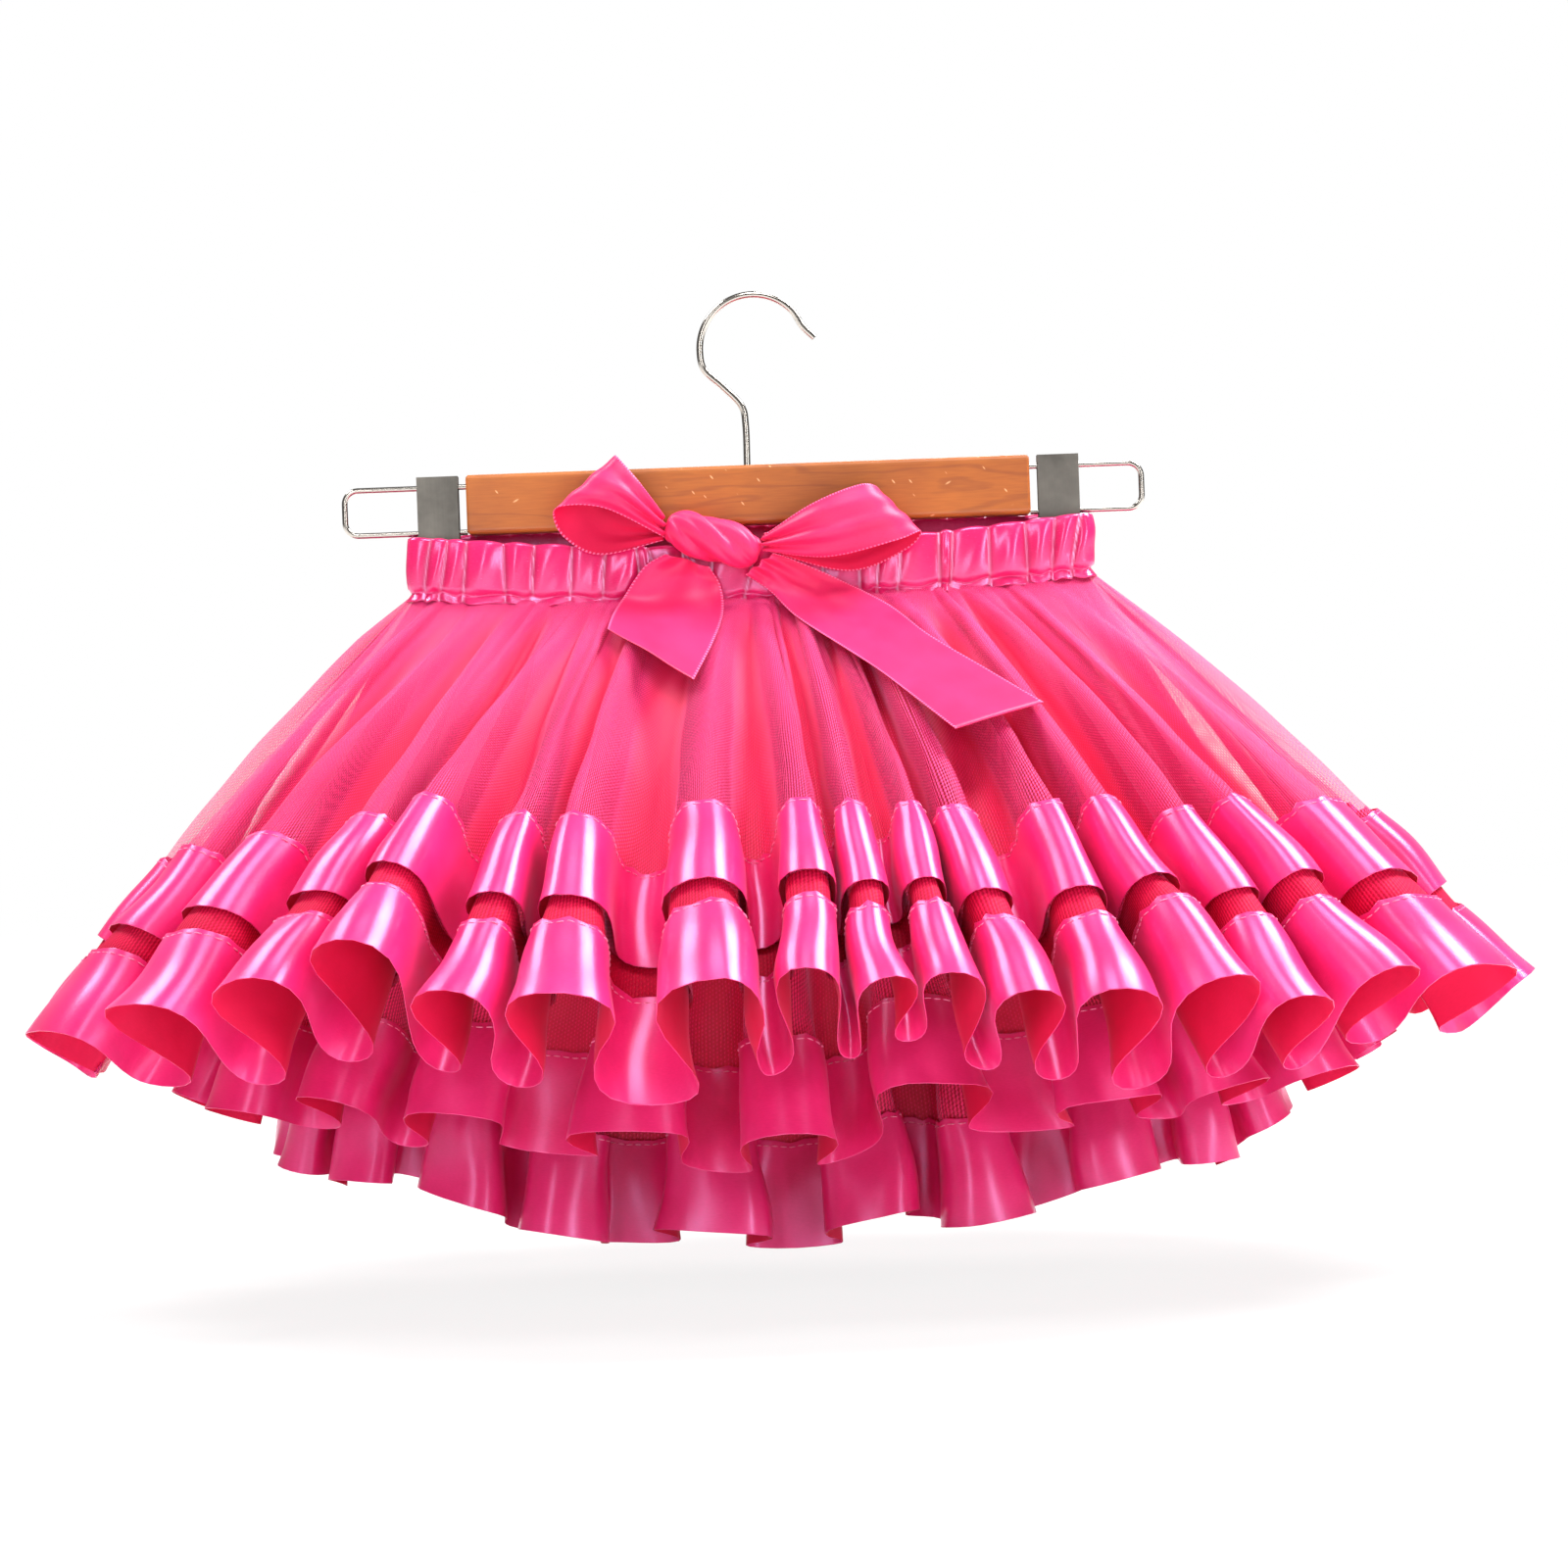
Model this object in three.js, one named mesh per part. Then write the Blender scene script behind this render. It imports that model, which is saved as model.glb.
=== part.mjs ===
// A child's tutu skirt that hangs by its waistband from a small wooden clip hanger.
// Millimetres, +Z up, -Y is the skirt's front. The origin is on the inside of the hook's crown,
// where the hook bears on a rail. Cloth walls are thicker than net and ribbon really are.
import * as THREE from "three";

const { degToRad, lerp, clamp } = THREE.MathUtils;

// Cloth
const NET_WALL = 1.2;
const RIBBON_WALL = 1.0;
const PIECE_GAP = 0.3;
const RIBBON_WIDTH = 38;
const RIBBON_SPACING = 10;
const STEPS_PER_FLUTE = 5;

// Where the skirt and the hanger lie below the hook
const MIDDLE_X = -4;
const HEM_DRIFT = 4.7;

// Waistband: a gathered casing round an elastic, flattened by the hanger
const BAND_HALF_WIDTH = 125.7;
const BAND_HALF_DEPTH = 6.2;
const BAND_TOP = -86.1;
const BAND_BOTTOM = -107.3;
const BAND_FRONT_SAG = { top: 8, bottom: 5.2 };
const BAND_BACK_SAG = { top: 2.5, bottom: 2 };
const BAND_GATHERS = 50;
const BAND_ROUNDNESS = 0.15;
const SEAM_ROUNDNESS = 0.35;
const HEM_ROUNDNESS = 0.85;

// Hanger
const BAR = { halfLength: 106, top: -63.3, bottom: -85.6, thickness: 14, edge: 2 };
const CLIP = { inner: 109.3, outer: 124.8, top: -63.3, bottom: -101, halfDepth: 3.2, plate: 1, web: 2.7 };
const LOOP_WIRE = { radius: 1.1, top: -67.4, bottom: -84.5, corner: 5 };
const LOOP_REACH = { left: 152.4, right: 148.5 };
const HOOK = { wire: 1.3, radius: 20.3, stemX: -4 };

// Bow
const BOW_WALL = 1.0;
const KNOT = { x: -17.8, y: -15, z: -91.5, halfLength: 18.3, halfDepth: 6.2, halfHeight: 8, tilt: 15 };
const TAIL_REST = { short: 5, long: 4.2 };
const CREST_RISE = 34;

// The skirt's layers, from the outside in. Each hangs from its own line under the waistband.
// flare: degrees between the cloth and a plumb line at a distance along the cloth from its seam.
const outerLength = 225;
const middleLength = 222;
const innerLength = 240;
const hemRibbonTop = outerLength - RIBBON_WIDTH;
const upperRibbonEnd = hemRibbonTop - RIBBON_SPACING;
const upperRibbonTop = upperRibbonEnd - RIBBON_WIDTH;

const outerLayer = {
  length: outerLength,
  halfWidth: 128.6,
  halfDepth: 9.0,
  seamDrop: 0.9,
  sideShare: 0.97,
  curl: 0.2,
  sections: [
    { along: 0, front: 57, side: 47, back: 46 },
    { along: 70, front: 53, side: 43, back: 42 },
    { along: upperRibbonTop, front: 44, side: 38, back: 39 },
    { along: upperRibbonEnd, front: 38, side: 36, back: 37 },
    { along: hemRibbonTop, front: 39, side: 36, back: 38 },
    { along: outerLength, front: 43, side: 37, back: 40 },
  ],
};
const middleLayer = {
  length: middleLength,
  halfWidth: 126.8,
  halfDepth: 7.2,
  seamDrop: 1.6,
  sideShare: 0.928,
  curl: 0.16,
  sections: [
    { along: 0, front: 32, side: 29, back: 27 },
    { along: 93, front: 29, side: 27, back: 25 },
    { along: middleLength - RIBBON_WIDTH, front: 27, side: 26, back: 24 },
    { along: middleLength, front: 26, side: 25, back: 24 },
  ],
};
const innerLayer = {
  length: innerLength,
  halfWidth: 125.2,
  halfDepth: 5.5,
  seamDrop: 1.9,
  sideShare: 0.9,
  curl: 0.16,
  sections: [
    { along: 0, front: 16, side: 17, back: 15 },
    { along: 101, front: 13, side: 16, back: 13 },
    { along: innerLength - RIBBON_WIDTH, front: 11, side: 15, back: 12 },
    { along: innerLength, front: 10, side: 14, back: 12 },
  ],
};

// Flutes of the outer layer's front: across is a crest's place at the hem, rise is half its depth
// there, and lean is how far it bows to the right half-way up, in degrees round the skirt.
const outerFrontFlutes = [
  { across: -269, rise: 12, lean: 0 },
  { across: -245, rise: 22, lean: 1 },
  { across: -206, rise: 27, lean: -2 },
  { across: -170, rise: 29, lean: 2 },
  { across: -136, rise: 34, lean: -1 },
  { across: -104, rise: 25, lean: 1 },
  { across: -75, rise: 26, lean: -1 },
  { across: -15, rise: 36, lean: -2 },
  { across: 14, rise: 21, lean: 1 },
  { across: 35, rise: 19, lean: 0 },
  { across: 57, rise: 19, lean: 1 },
  { across: 82, rise: 23, lean: -1 },
  { across: 111, rise: 26, lean: 2 },
  { across: 146, rise: 30, lean: -2 },
  { across: 173, rise: 24, lean: 1 },
  { across: 200, rise: 27, lean: -2 },
  { across: 232, rise: 25, lean: 1 },
  { across: 270, rise: 12, lean: 0 },
];

// Flutes with no place of their own: evenly spread, then shifted and deepened unevenly. They are
// shallower towards the side seams, where the skirt turns in a tighter curve.
function unevenFlutes(count, rise, seamRise, start) {
  const flutes = [];
  for (let i = 0; i <= count; i += 1) {
    const room = Math.sin((Math.PI * i) / count);
    const shift = 0.2 * room * Math.sin(2.3 * i + start);
    const depth = rise * (0.6 + 0.4 * room) * (1 + 0.32 * Math.sin(1.7 * i + 2 * start));
    flutes.push({
      turn: degToRad(lerp(-90, 90, (i + shift) / count)),
      rise: i === 0 || i === count ? seamRise : depth,
      lean: degToRad(1.6 * room * Math.sin(2.9 * i + start)),
    });
  }
  return flutes;
}

// Flutes from a table, with each crest's place turned into an angle round the hem.
function placedFlutes(rows, halfWidth) {
  return rows.map((row) => {
    const sine = clamp((row.across - MIDDLE_X - HEM_DRIFT) / halfWidth, -1, 1);
    return { turn: Math.asin(sine), rise: row.rise, lean: degToRad(row.lean) };
  });
}

// How far the cloth has come out and down from its seam, at a distance along it.
function profile(layer, side, along) {
  const share = side === "side" ? layer.sideShare : 1;
  let out = 0;
  let down = 0;
  for (let i = 1; i < layer.sections.length; i += 1) {
    const from = layer.sections[i - 1];
    const to = layer.sections[i];
    const span = to.along - from.along;
    const step = clamp(along - from.along, 0, span);
    const flare = degToRad(lerp(from[side], to[side], (0.5 * step) / span));
    out += step * share * Math.sin(flare);
    down += step * share * Math.cos(flare);
  }
  return { out, down };
}

const FRONT = { name: "front", sign: 1, sag: BAND_FRONT_SAG };
const BACK = { name: "back", sign: -1, sag: BAND_BACK_SAG };

// A point of a layer's mean surface: turn goes from -90 to 90 degrees round one face of the skirt.
function meanPoint(layer, face, turn, along) {
  const progress = along / layer.length;
  const sideways = profile(layer, "side", along);
  const facing = profile(layer, face.name, along);
  const roundness = lerp(SEAM_ROUNDNESS, HEM_ROUNDNESS, progress);
  const sine = Math.sin(turn);
  const cosine = Math.max(Math.cos(turn), 0);
  const seam = BAND_BOTTOM - layer.seamDrop - face.sag.bottom * cosine ** 2;
  return new THREE.Vector3(
    MIDDLE_X + HEM_DRIFT * progress + face.sign * (layer.halfWidth + sideways.out) * sine,
    -face.sign * (layer.halfDepth + facing.out) * cosine ** roundness,
    seam - lerp(facing.down, sideways.down, sine ** 2),
  );
}

// The direction out of the mean surface.
function meanNormal(layer, face, turn, along) {
  const limit = Math.PI / 2 - 0.004;
  const angle = clamp(turn, -limit, limit);
  const lower = Math.min(along + 1, layer.length);
  const upper = Math.max(along - 1, 0);
  const across = meanPoint(layer, face, angle + 0.002, along);
  across.sub(meanPoint(layer, face, angle - 0.002, along));
  const downward = meanPoint(layer, face, angle, lower);
  downward.sub(meanPoint(layer, face, angle, upper));
  return downward.cross(across).normalize();
}

// One row of a fluted panel. Flutes deepen and curl towards the hem, like the mouth of a tube.
function flutedRow(layer, face, flutes, along) {
  const progress = along / layer.length;
  const growth = progress ** 1.15;
  const curl = layer.curl * progress ** 2;
  const row = [];
  const place = (turn, height) => {
    const point = meanPoint(layer, face, turn, along);
    row.push(point.addScaledVector(meanNormal(layer, face, turn, along), height));
  };
  for (let i = 0; i < flutes.length - 1; i += 1) {
    const from = flutes[i];
    const to = flutes[i + 1];
    const bow = 4 * progress * (1 - progress);
    const start = from.turn + from.lean * bow;
    const end = to.turn + to.lean * bow;
    for (let step = 0; step < STEPS_PER_FLUTE; step += 1) {
      const t = step / STEPS_PER_FLUTE;
      const height = growth * lerp(from.rise, to.rise, t) * Math.cos(2 * Math.PI * t);
      place(lerp(start, end, t + curl * Math.sin(4 * Math.PI * t)), height);
    }
  }
  place(Math.PI / 2, growth * flutes[flutes.length - 1].rise);
  row[0].y = -face.sign * PIECE_GAP * 0.5;
  row[row.length - 1].y = row[0].y;
  return row;
}

// A direction out of a grid of points at each of them, long enough that the wall keeps its
// thickness where a row bends. On a seamed panel the two end columns point straight out sideways.
function gridNormals(grid, closed, seamed) {
  const last = grid.length - 1;
  const columns = grid[0].length;
  return grid.map((line, r) => line.map((_, c) => {
    const downward = grid[Math.min(r + 1, last)][c].clone().sub(grid[Math.max(r - 1, 0)][c]);
    const near = [];
    for (const start of [c - 1, c]) {
      if (closed || (start >= 0 && start < columns - 1)) {
        const across = line[(start + 1) % columns].clone().sub(line[(start + columns) % columns]);
        near.push(downward.clone().cross(across).normalize());
      }
    }
    const normal = near.reduce((sum, one) => sum.add(one), new THREE.Vector3());
    if (seamed && (c === 0 || c === columns - 1)) {
      normal.y = 0;
    }
    normal.normalize();
    const facing = Math.min(...near.map((one) => one.dot(normal)));
    return normal.multiplyScalar(1 / clamp(facing, 0.6, 1));
  }));
}

// A closed wall between two offsets of a grid. Rows run down the cloth, columns run to the right
// as seen from outside. An offset is a number, or a function of the row and column.
function wall(grid, normals, inner, outer, closed = false) {
  const rows = grid.length;
  const columns = grid[0].length;
  const positions = [];
  for (const offset of [outer, inner]) {
    grid.forEach((line, r) => line.forEach((point, c) => {
      const distance = typeof offset === "function" ? offset(r, c) : offset;
      positions.push(...point.clone().addScaledVector(normals[r][c], distance).toArray());
    }));
  }
  const outside = (r, c) => r * columns + (c % columns);
  const inside = (r, c) => rows * columns + outside(r, c);
  const index = [];
  const quad = (a, b, c, d) => index.push(a, b, c, a, c, d);
  const cells = closed ? columns : columns - 1;
  for (let c = 0; c < cells; c += 1) {
    for (let r = 0; r < rows - 1; r += 1) {
      quad(outside(r, c), outside(r + 1, c), outside(r + 1, c + 1), outside(r, c + 1));
      quad(inside(r, c), inside(r, c + 1), inside(r + 1, c + 1), inside(r + 1, c));
    }
    quad(outside(0, c), outside(0, c + 1), inside(0, c + 1), inside(0, c));
    quad(inside(rows - 1, c), inside(rows - 1, c + 1), outside(rows - 1, c + 1), outside(rows - 1, c));
  }
  for (let r = 0; r < rows - 1 && !closed; r += 1) {
    quad(outside(r, 0), inside(r, 0), inside(r + 1, 0), outside(r + 1, 0));
    quad(outside(r + 1, cells), inside(r + 1, cells), inside(r, cells), outside(r, cells));
  }
  const geometry = new THREE.BufferGeometry();
  geometry.setAttribute("position", new THREE.Float32BufferAttribute(positions, 3));
  geometry.setIndex(index);
  geometry.computeVertexNormals();
  return geometry;
}

// Materials
const finish = (color, roughness, metalness) => ({ color, roughness, metalness });
const NET = finish(0xff4a80, 0.9, 0);
const SATIN = finish(0xf0388c, 0.35, 0);
const BOW_SATIN = finish(0xff3f7c, 0.5, 0);
const VARNISHED_WOOD = finish(0xd27d42, 0.45, 0);
const SHEET_STEEL = finish(0x8c8a84, 0.4, 1);
const CHROME = finish(0xd8dadd, 0.12, 1);

const tutu = new THREE.Group();

function add(name, geometry, look) {
  const mesh = new THREE.Mesh(geometry, new THREE.MeshStandardMaterial(look));
  mesh.name = name;
  tutu.add(mesh);
}

// One face of a layer: its net panel, and the ribbons laid on the panel's own points.
function addPanel(layerName, layer, face, flutes, ribbons) {
  const grid = layer.sections.map((section) => flutedRow(layer, face, flutes, section.along));
  const normals = gridNormals(grid, false, true);
  add(`tulle_${layerName}_${face.name}`, wall(grid, normals, -NET_WALL / 2, NET_WALL / 2), NET);
  const under = NET_WALL / 2 + PIECE_GAP;
  for (const ribbon of ribbons) {
    const rows = [ribbon.row, ribbon.row + 1];
    const points = rows.map((row) => grid[row]);
    const directions = rows.map((row) => normals[row]);
    const strip = wall(points, directions, under, under + RIBBON_WALL);
    add(`ribbon_${ribbon.name}_${face.name}`, strip, SATIN);
  }
}

function addLayers() {
  const hemHalfWidth = outerLayer.halfWidth + profile(outerLayer, "side", outerLength).out;
  const outerRibbons = [{ name: "upper", row: 2 }, { name: "hem", row: 4 }];
  addPanel("outer", outerLayer, FRONT, placedFlutes(outerFrontFlutes, hemHalfWidth), outerRibbons);
  addPanel("outer", outerLayer, BACK, unevenFlutes(15, 26, 12, 0.4), outerRibbons);
  addPanel("middle", middleLayer, FRONT, unevenFlutes(12, 20, 6, 1.8), [{ name: "middle", row: 2 }]);
  addPanel("middle", middleLayer, BACK, unevenFlutes(11, 19, 6, 2.3), [{ name: "middle", row: 2 }]);
  addPanel("inner", innerLayer, FRONT, unevenFlutes(11, 16, 7, 0.9), [{ name: "inner", row: 2 }]);
  addPanel("inner", innerLayer, BACK, unevenFlutes(10, 15, 7, 2.0), [{ name: "inner", row: 2 }]);
}

// The line round the inside of the waistband.
class WaistLine extends THREE.Curve {
  getPoint(t, target = new THREE.Vector3()) {
    const turn = 2 * Math.PI * t;
    const depth = -Math.sign(Math.cos(turn)) * Math.abs(Math.cos(turn)) ** BAND_ROUNDNESS;
    return target.set(MIDDLE_X + BAND_HALF_WIDTH * Math.sin(turn), BAND_HALF_DEPTH * depth, 0);
  }
}

// The waistband: plain inside, with gathers that stand out from its outer face.
function waistband() {
  const line = new WaistLine();
  line.arcLengthDivisions = 4000;
  const ring = line.getSpacedPoints(2 * BAND_GATHERS).slice(0, -1);
  const rows = [{ height: 0, fullness: 0.35 }, { height: 0.5, fullness: 1 }, { height: 1, fullness: 0.3 }];
  const grid = rows.map((row) => ring.map((point) => {
    const reach = clamp((point.x - MIDDLE_X) / BAND_HALF_WIDTH, -1, 1);
    const sag = point.y < 0 ? BAND_FRONT_SAG : BAND_BACK_SAG;
    const top = BAND_TOP - sag.top * (1 - reach ** 2);
    const bottom = BAND_BOTTOM - sag.bottom * (1 - reach ** 2);
    return new THREE.Vector3(point.x, point.y, lerp(top, bottom, row.height));
  }));
  const normals = gridNormals(grid, true, false);
  const gather = (r, c) => {
    const crest = c % 2 === 0 ? 0 : 1.9 + 0.5 * Math.sin(1.9 * c);
    return 2.4 + rows[r].fullness * crest;
  };
  return wall(grid, normals, 0, gather, true);
}

// A strip of ribbon through sections: each section is a list of points across the strip, and the
// strip runs smoothly through the sections in steps.
function ribbonStrip(sections, steps) {
  const lines = sections[0].map((_, i) => {
    return new THREE.CatmullRomCurve3(sections.map((section) => section[i]), false, "centripetal");
  });
  const grid = [];
  for (let step = 0; step <= steps; step += 1) {
    grid.push(lines.map((line) => line.getPoint(step / steps)));
  }
  return wall(grid, gridNormals(grid, false, false), -BOW_WALL / 2, BOW_WALL / 2);
}

// A bow loop: the ribbon leaves the knot, turns at its far end and comes back behind itself.
// upper and lower are the two edges of the ribbon seen from the front, and depth is its -Y.
const leftLoopSections = [
  { upper: [-35.7, -82], lower: [-35.8, -90], depth: 16.6, belly: 0 },
  { upper: [-44, -70], lower: [-57, -79], depth: 24, belly: 3 },
  { upper: [-51, -61], lower: [-73, -77.5], depth: 23, belly: 2 },
  { upper: [-53, -59], lower: [-77, -80.5], depth: 18, belly: 0 },
  { upper: [-51, -61.5], lower: [-73, -89], depth: 14, belly: -1 },
  { upper: [-45, -72], lower: [-60, -95.5], depth: 12.8, belly: 0 },
  { upper: [-35.9, -84], lower: [-36, -91], depth: 14.2, belly: 0 },
];
const rightLoopSections = [
  { upper: [0.7, -91.2], lower: [0.8, -96.4], depth: 16.8, belly: 0 },
  { upper: [20, -80], lower: [25, -100], depth: 25, belly: 3 },
  { upper: [38, -73.5], lower: [50, -95], depth: 24, belly: 2 },
  { upper: [45, -75], lower: [60, -91.5], depth: 18, belly: 0 },
  { upper: [42, -78], lower: [54, -98], depth: 14, belly: -1 },
  { upper: [24, -84], lower: [33, -105], depth: 13, belly: 0 },
  { upper: [1.2, -90], lower: [3.2, -96.8], depth: 14.2, belly: 0 },
];

function bowLoop(sections, sign) {
  const rows = sections.map((section) => {
    const upper = new THREE.Vector3(section.upper[0], -section.depth, section.upper[1]);
    const lower = new THREE.Vector3(section.lower[0], -section.depth, section.lower[1]);
    const middle = upper.clone().lerp(lower, 0.5);
    middle.y -= section.belly;
    return sign > 0 ? [upper, middle, lower] : [lower, middle, upper];
  });
  return ribbonStrip(rows, 14);
}

// How far forward the outer layer's crests stand at a place on the skirt's front.
function crestDepth(x, z) {
  let near = 0;
  let far = outerLength;
  let point = meanPoint(outerLayer, FRONT, 0, 0);
  for (let i = 0; i < 24; i += 1) {
    const along = (near + far) / 2;
    const reach = outerLayer.halfWidth + profile(outerLayer, "side", along).out;
    const turn = Math.asin(clamp((x - MIDDLE_X) / reach, -1, 1));
    const crest = CREST_RISE * (along / outerLength) ** 1.15;
    point = meanPoint(outerLayer, FRONT, turn, along);
    point.addScaledVector(meanNormal(outerLayer, FRONT, turn, along), crest);
    if (point.z > z) {
      near = along;
    } else {
      far = along;
    }
  }
  return -point.y;
}

// A bow tail lies on the waistband's front and then on the crests of the outer layer's flutes.
const shortTailSections = [
  { upper: [-35.6, -96.2], lower: [-19.5, -101.6] },
  { upper: [-44, -101], lower: [-15.5, -109] },
  { upper: [-52, -112], lower: [-14.8, -119.5] },
  { upper: [-56, -119], lower: [-18.5, -131] },
  { upper: [-57.5, -124], lower: [-25.5, -145] },
];
const longTailSections = [
  { upper: [4.6, -97.6], lower: [-6, -105] },
  { upper: [12, -100], lower: [2.5, -111] },
  { upper: [29, -108], lower: [12, -121.5] },
  { upper: [47, -118.5], lower: [28, -134] },
  { upper: [61, -131.5], lower: [41, -144] },
  { upper: [80, -145], lower: [52, -153.5] },
  { upper: [99, -158], lower: [66.5, -166.5] },
];

function bowTail(sections, rootDepth, rest) {
  const bandFront = BAND_HALF_DEPTH + 5.6 + BOW_WALL;
  const rows = sections.map((section, i) => {
    return [0, 0.5, 1].map((across) => {
      const x = lerp(section.lower[0], section.upper[0], across);
      const z = lerp(section.lower[1], section.upper[1], across);
      const depth = Math.max(bandFront, crestDepth(x, z) + rest);
      return new THREE.Vector3(x, -(i === 0 ? rootDepth : depth), z);
    });
  });
  return ribbonStrip(rows, 14);
}

function bowKnot() {
  const knot = new THREE.SphereGeometry(1, 14, 9);
  knot.rotateZ(Math.PI / 2);
  knot.scale(KNOT.halfLength, KNOT.halfDepth, KNOT.halfHeight);
  knot.rotateY(degToRad(KNOT.tilt));
  knot.translate(KNOT.x, KNOT.y, KNOT.z);
  return knot;
}

function addBow() {
  add("bow_knot", bowKnot(), BOW_SATIN);
  add("bow_loop_left", bowLoop(leftLoopSections, -1), BOW_SATIN);
  add("bow_loop_right", bowLoop(rightLoopSections, 1), BOW_SATIN);
  add("bow_tail_short", bowTail(shortTailSections, 15, TAIL_REST.short), BOW_SATIN);
  add("bow_tail_long", bowTail(longTailSections, 17, TAIL_REST.long), BOW_SATIN);
}

// A wire along a path, with a section of a few sides.
function wire(path, radius, sides, steps) {
  const section = new THREE.Shape();
  section.absarc(0, 0, radius, 0, 2 * Math.PI, false);
  return new THREE.ExtrudeGeometry(section, { steps, curveSegments: sides / 2, extrudePath: path });
}

function hook() {
  const crownZ = HOOK.wire - HOOK.radius;
  const points = [new THREE.Vector3(23.1, 0, -15.8)];
  for (let angle = 22; angle <= 202; angle += 20) {
    const turn = degToRad(angle);
    points.push(new THREE.Vector3(HOOK.radius * Math.cos(turn), 0, crownZ + HOOK.radius * Math.sin(turn)));
  }
  points.push(new THREE.Vector3(-12.2, 0, -33));
  points.push(new THREE.Vector3(HOOK.stemX - 1.4, 0, -40.5));
  points.push(new THREE.Vector3(HOOK.stemX, 0, -48));
  points.push(new THREE.Vector3(HOOK.stemX, 0, BAR.top + PIECE_GAP));
  return wire(new THREE.CatmullRomCurve3(points, false, "centripetal"), HOOK.wire, 8, 32);
}

// A block of constant section along X between two places measured from the hanger's middle.
function alongBar(section, from, to, bevel = 0) {
  const block = new THREE.ExtrudeGeometry(section, {
    depth: to - from - 2 * bevel,
    curveSegments: 2,
    bevelEnabled: bevel > 0,
    bevelThickness: bevel,
    bevelSize: bevel,
    bevelOffset: -bevel,
    bevelSegments: 1,
  });
  block.rotateY(Math.PI / 2);
  block.translate(MIDDLE_X + from + bevel, 0, 0);
  return block;
}

// Sections are drawn with their first axis pointing down the hanger and their second axis along Y.
function barSection() {
  const top = -BAR.top;
  const bottom = -BAR.bottom;
  const side = BAR.thickness / 2;
  const section = new THREE.Shape();
  section.moveTo(top + BAR.edge, -side);
  section.lineTo(bottom - BAR.edge, -side);
  section.absarc(bottom - BAR.edge, -side + BAR.edge, BAR.edge, -Math.PI / 2, 0, false);
  section.absarc(bottom - BAR.edge, side - BAR.edge, BAR.edge, 0, Math.PI / 2, false);
  section.absarc(top + BAR.edge, side - BAR.edge, BAR.edge, Math.PI / 2, Math.PI, false);
  section.absarc(top + BAR.edge, -side + BAR.edge, BAR.edge, Math.PI, 1.5 * Math.PI, false);
  return section;
}

function clipSection() {
  const outer = CLIP.halfDepth;
  const inner = CLIP.halfDepth - CLIP.plate;
  const top = -CLIP.top;
  const bottom = -CLIP.bottom;
  const corners = [
    [top, -outer], [bottom, -outer], [bottom, -inner], [top + CLIP.web, -inner],
    [top + CLIP.web, inner], [bottom, inner], [bottom, outer], [top, outer],
  ];
  return new THREE.Shape(corners.map(([down, y]) => new THREE.Vector2(down, y)));
}

// A wire loop: two legs out of the bar's end, through the clip, joined at the far end.
function wireLoop(side, reach) {
  const { top, bottom, corner, radius } = LOOP_WIRE;
  const at = (distance, z) => new THREE.Vector3(MIDDLE_X + side * distance, 0, z);
  const start = BAR.halfLength + PIECE_GAP;
  const straight = reach - corner;
  const path = new THREE.CurvePath();
  const leg = (from, to) => path.add(new THREE.LineCurve3(from, to));
  const bend = (from, round, to) => path.add(new THREE.QuadraticBezierCurve3(from, round, to));
  leg(at(start, top), at(straight, top));
  bend(at(straight, top), at(reach, top), at(reach, top - corner));
  leg(at(reach, top - corner), at(reach, bottom + corner));
  bend(at(reach, bottom + corner), at(reach, bottom), at(straight, bottom));
  leg(at(straight, bottom), at(start, bottom));
  return wire(path, radius, 6, 30);
}

function addHanger() {
  add("hook", hook(), CHROME);
  add("hanger_bar", alongBar(barSection(), -BAR.halfLength, BAR.halfLength, 0.8), VARNISHED_WOOD);
  add("clip_left", alongBar(clipSection(), -CLIP.outer, -CLIP.inner), SHEET_STEEL);
  add("clip_right", alongBar(clipSection(), CLIP.inner, CLIP.outer), SHEET_STEEL);
  add("wire_loop_left", wireLoop(-1, LOOP_REACH.left), CHROME);
  add("wire_loop_right", wireLoop(1, LOOP_REACH.right), CHROME);
}

addHanger();
add("waistband", waistband(), SATIN);
addLayers();
addBow();

export default tutu;
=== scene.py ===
# %% [markdown]
# # A child's tutu skirt on a clip hanger
#
# The skirt is three layers of gathered nylon net on a satin waistband. Satin ribbon is sewn round
# each hem, and a ribbon bow is tied at the waist. It hangs by its waistband from a wooden hanger.
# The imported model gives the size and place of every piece, and this lesson gives each its look.

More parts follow.
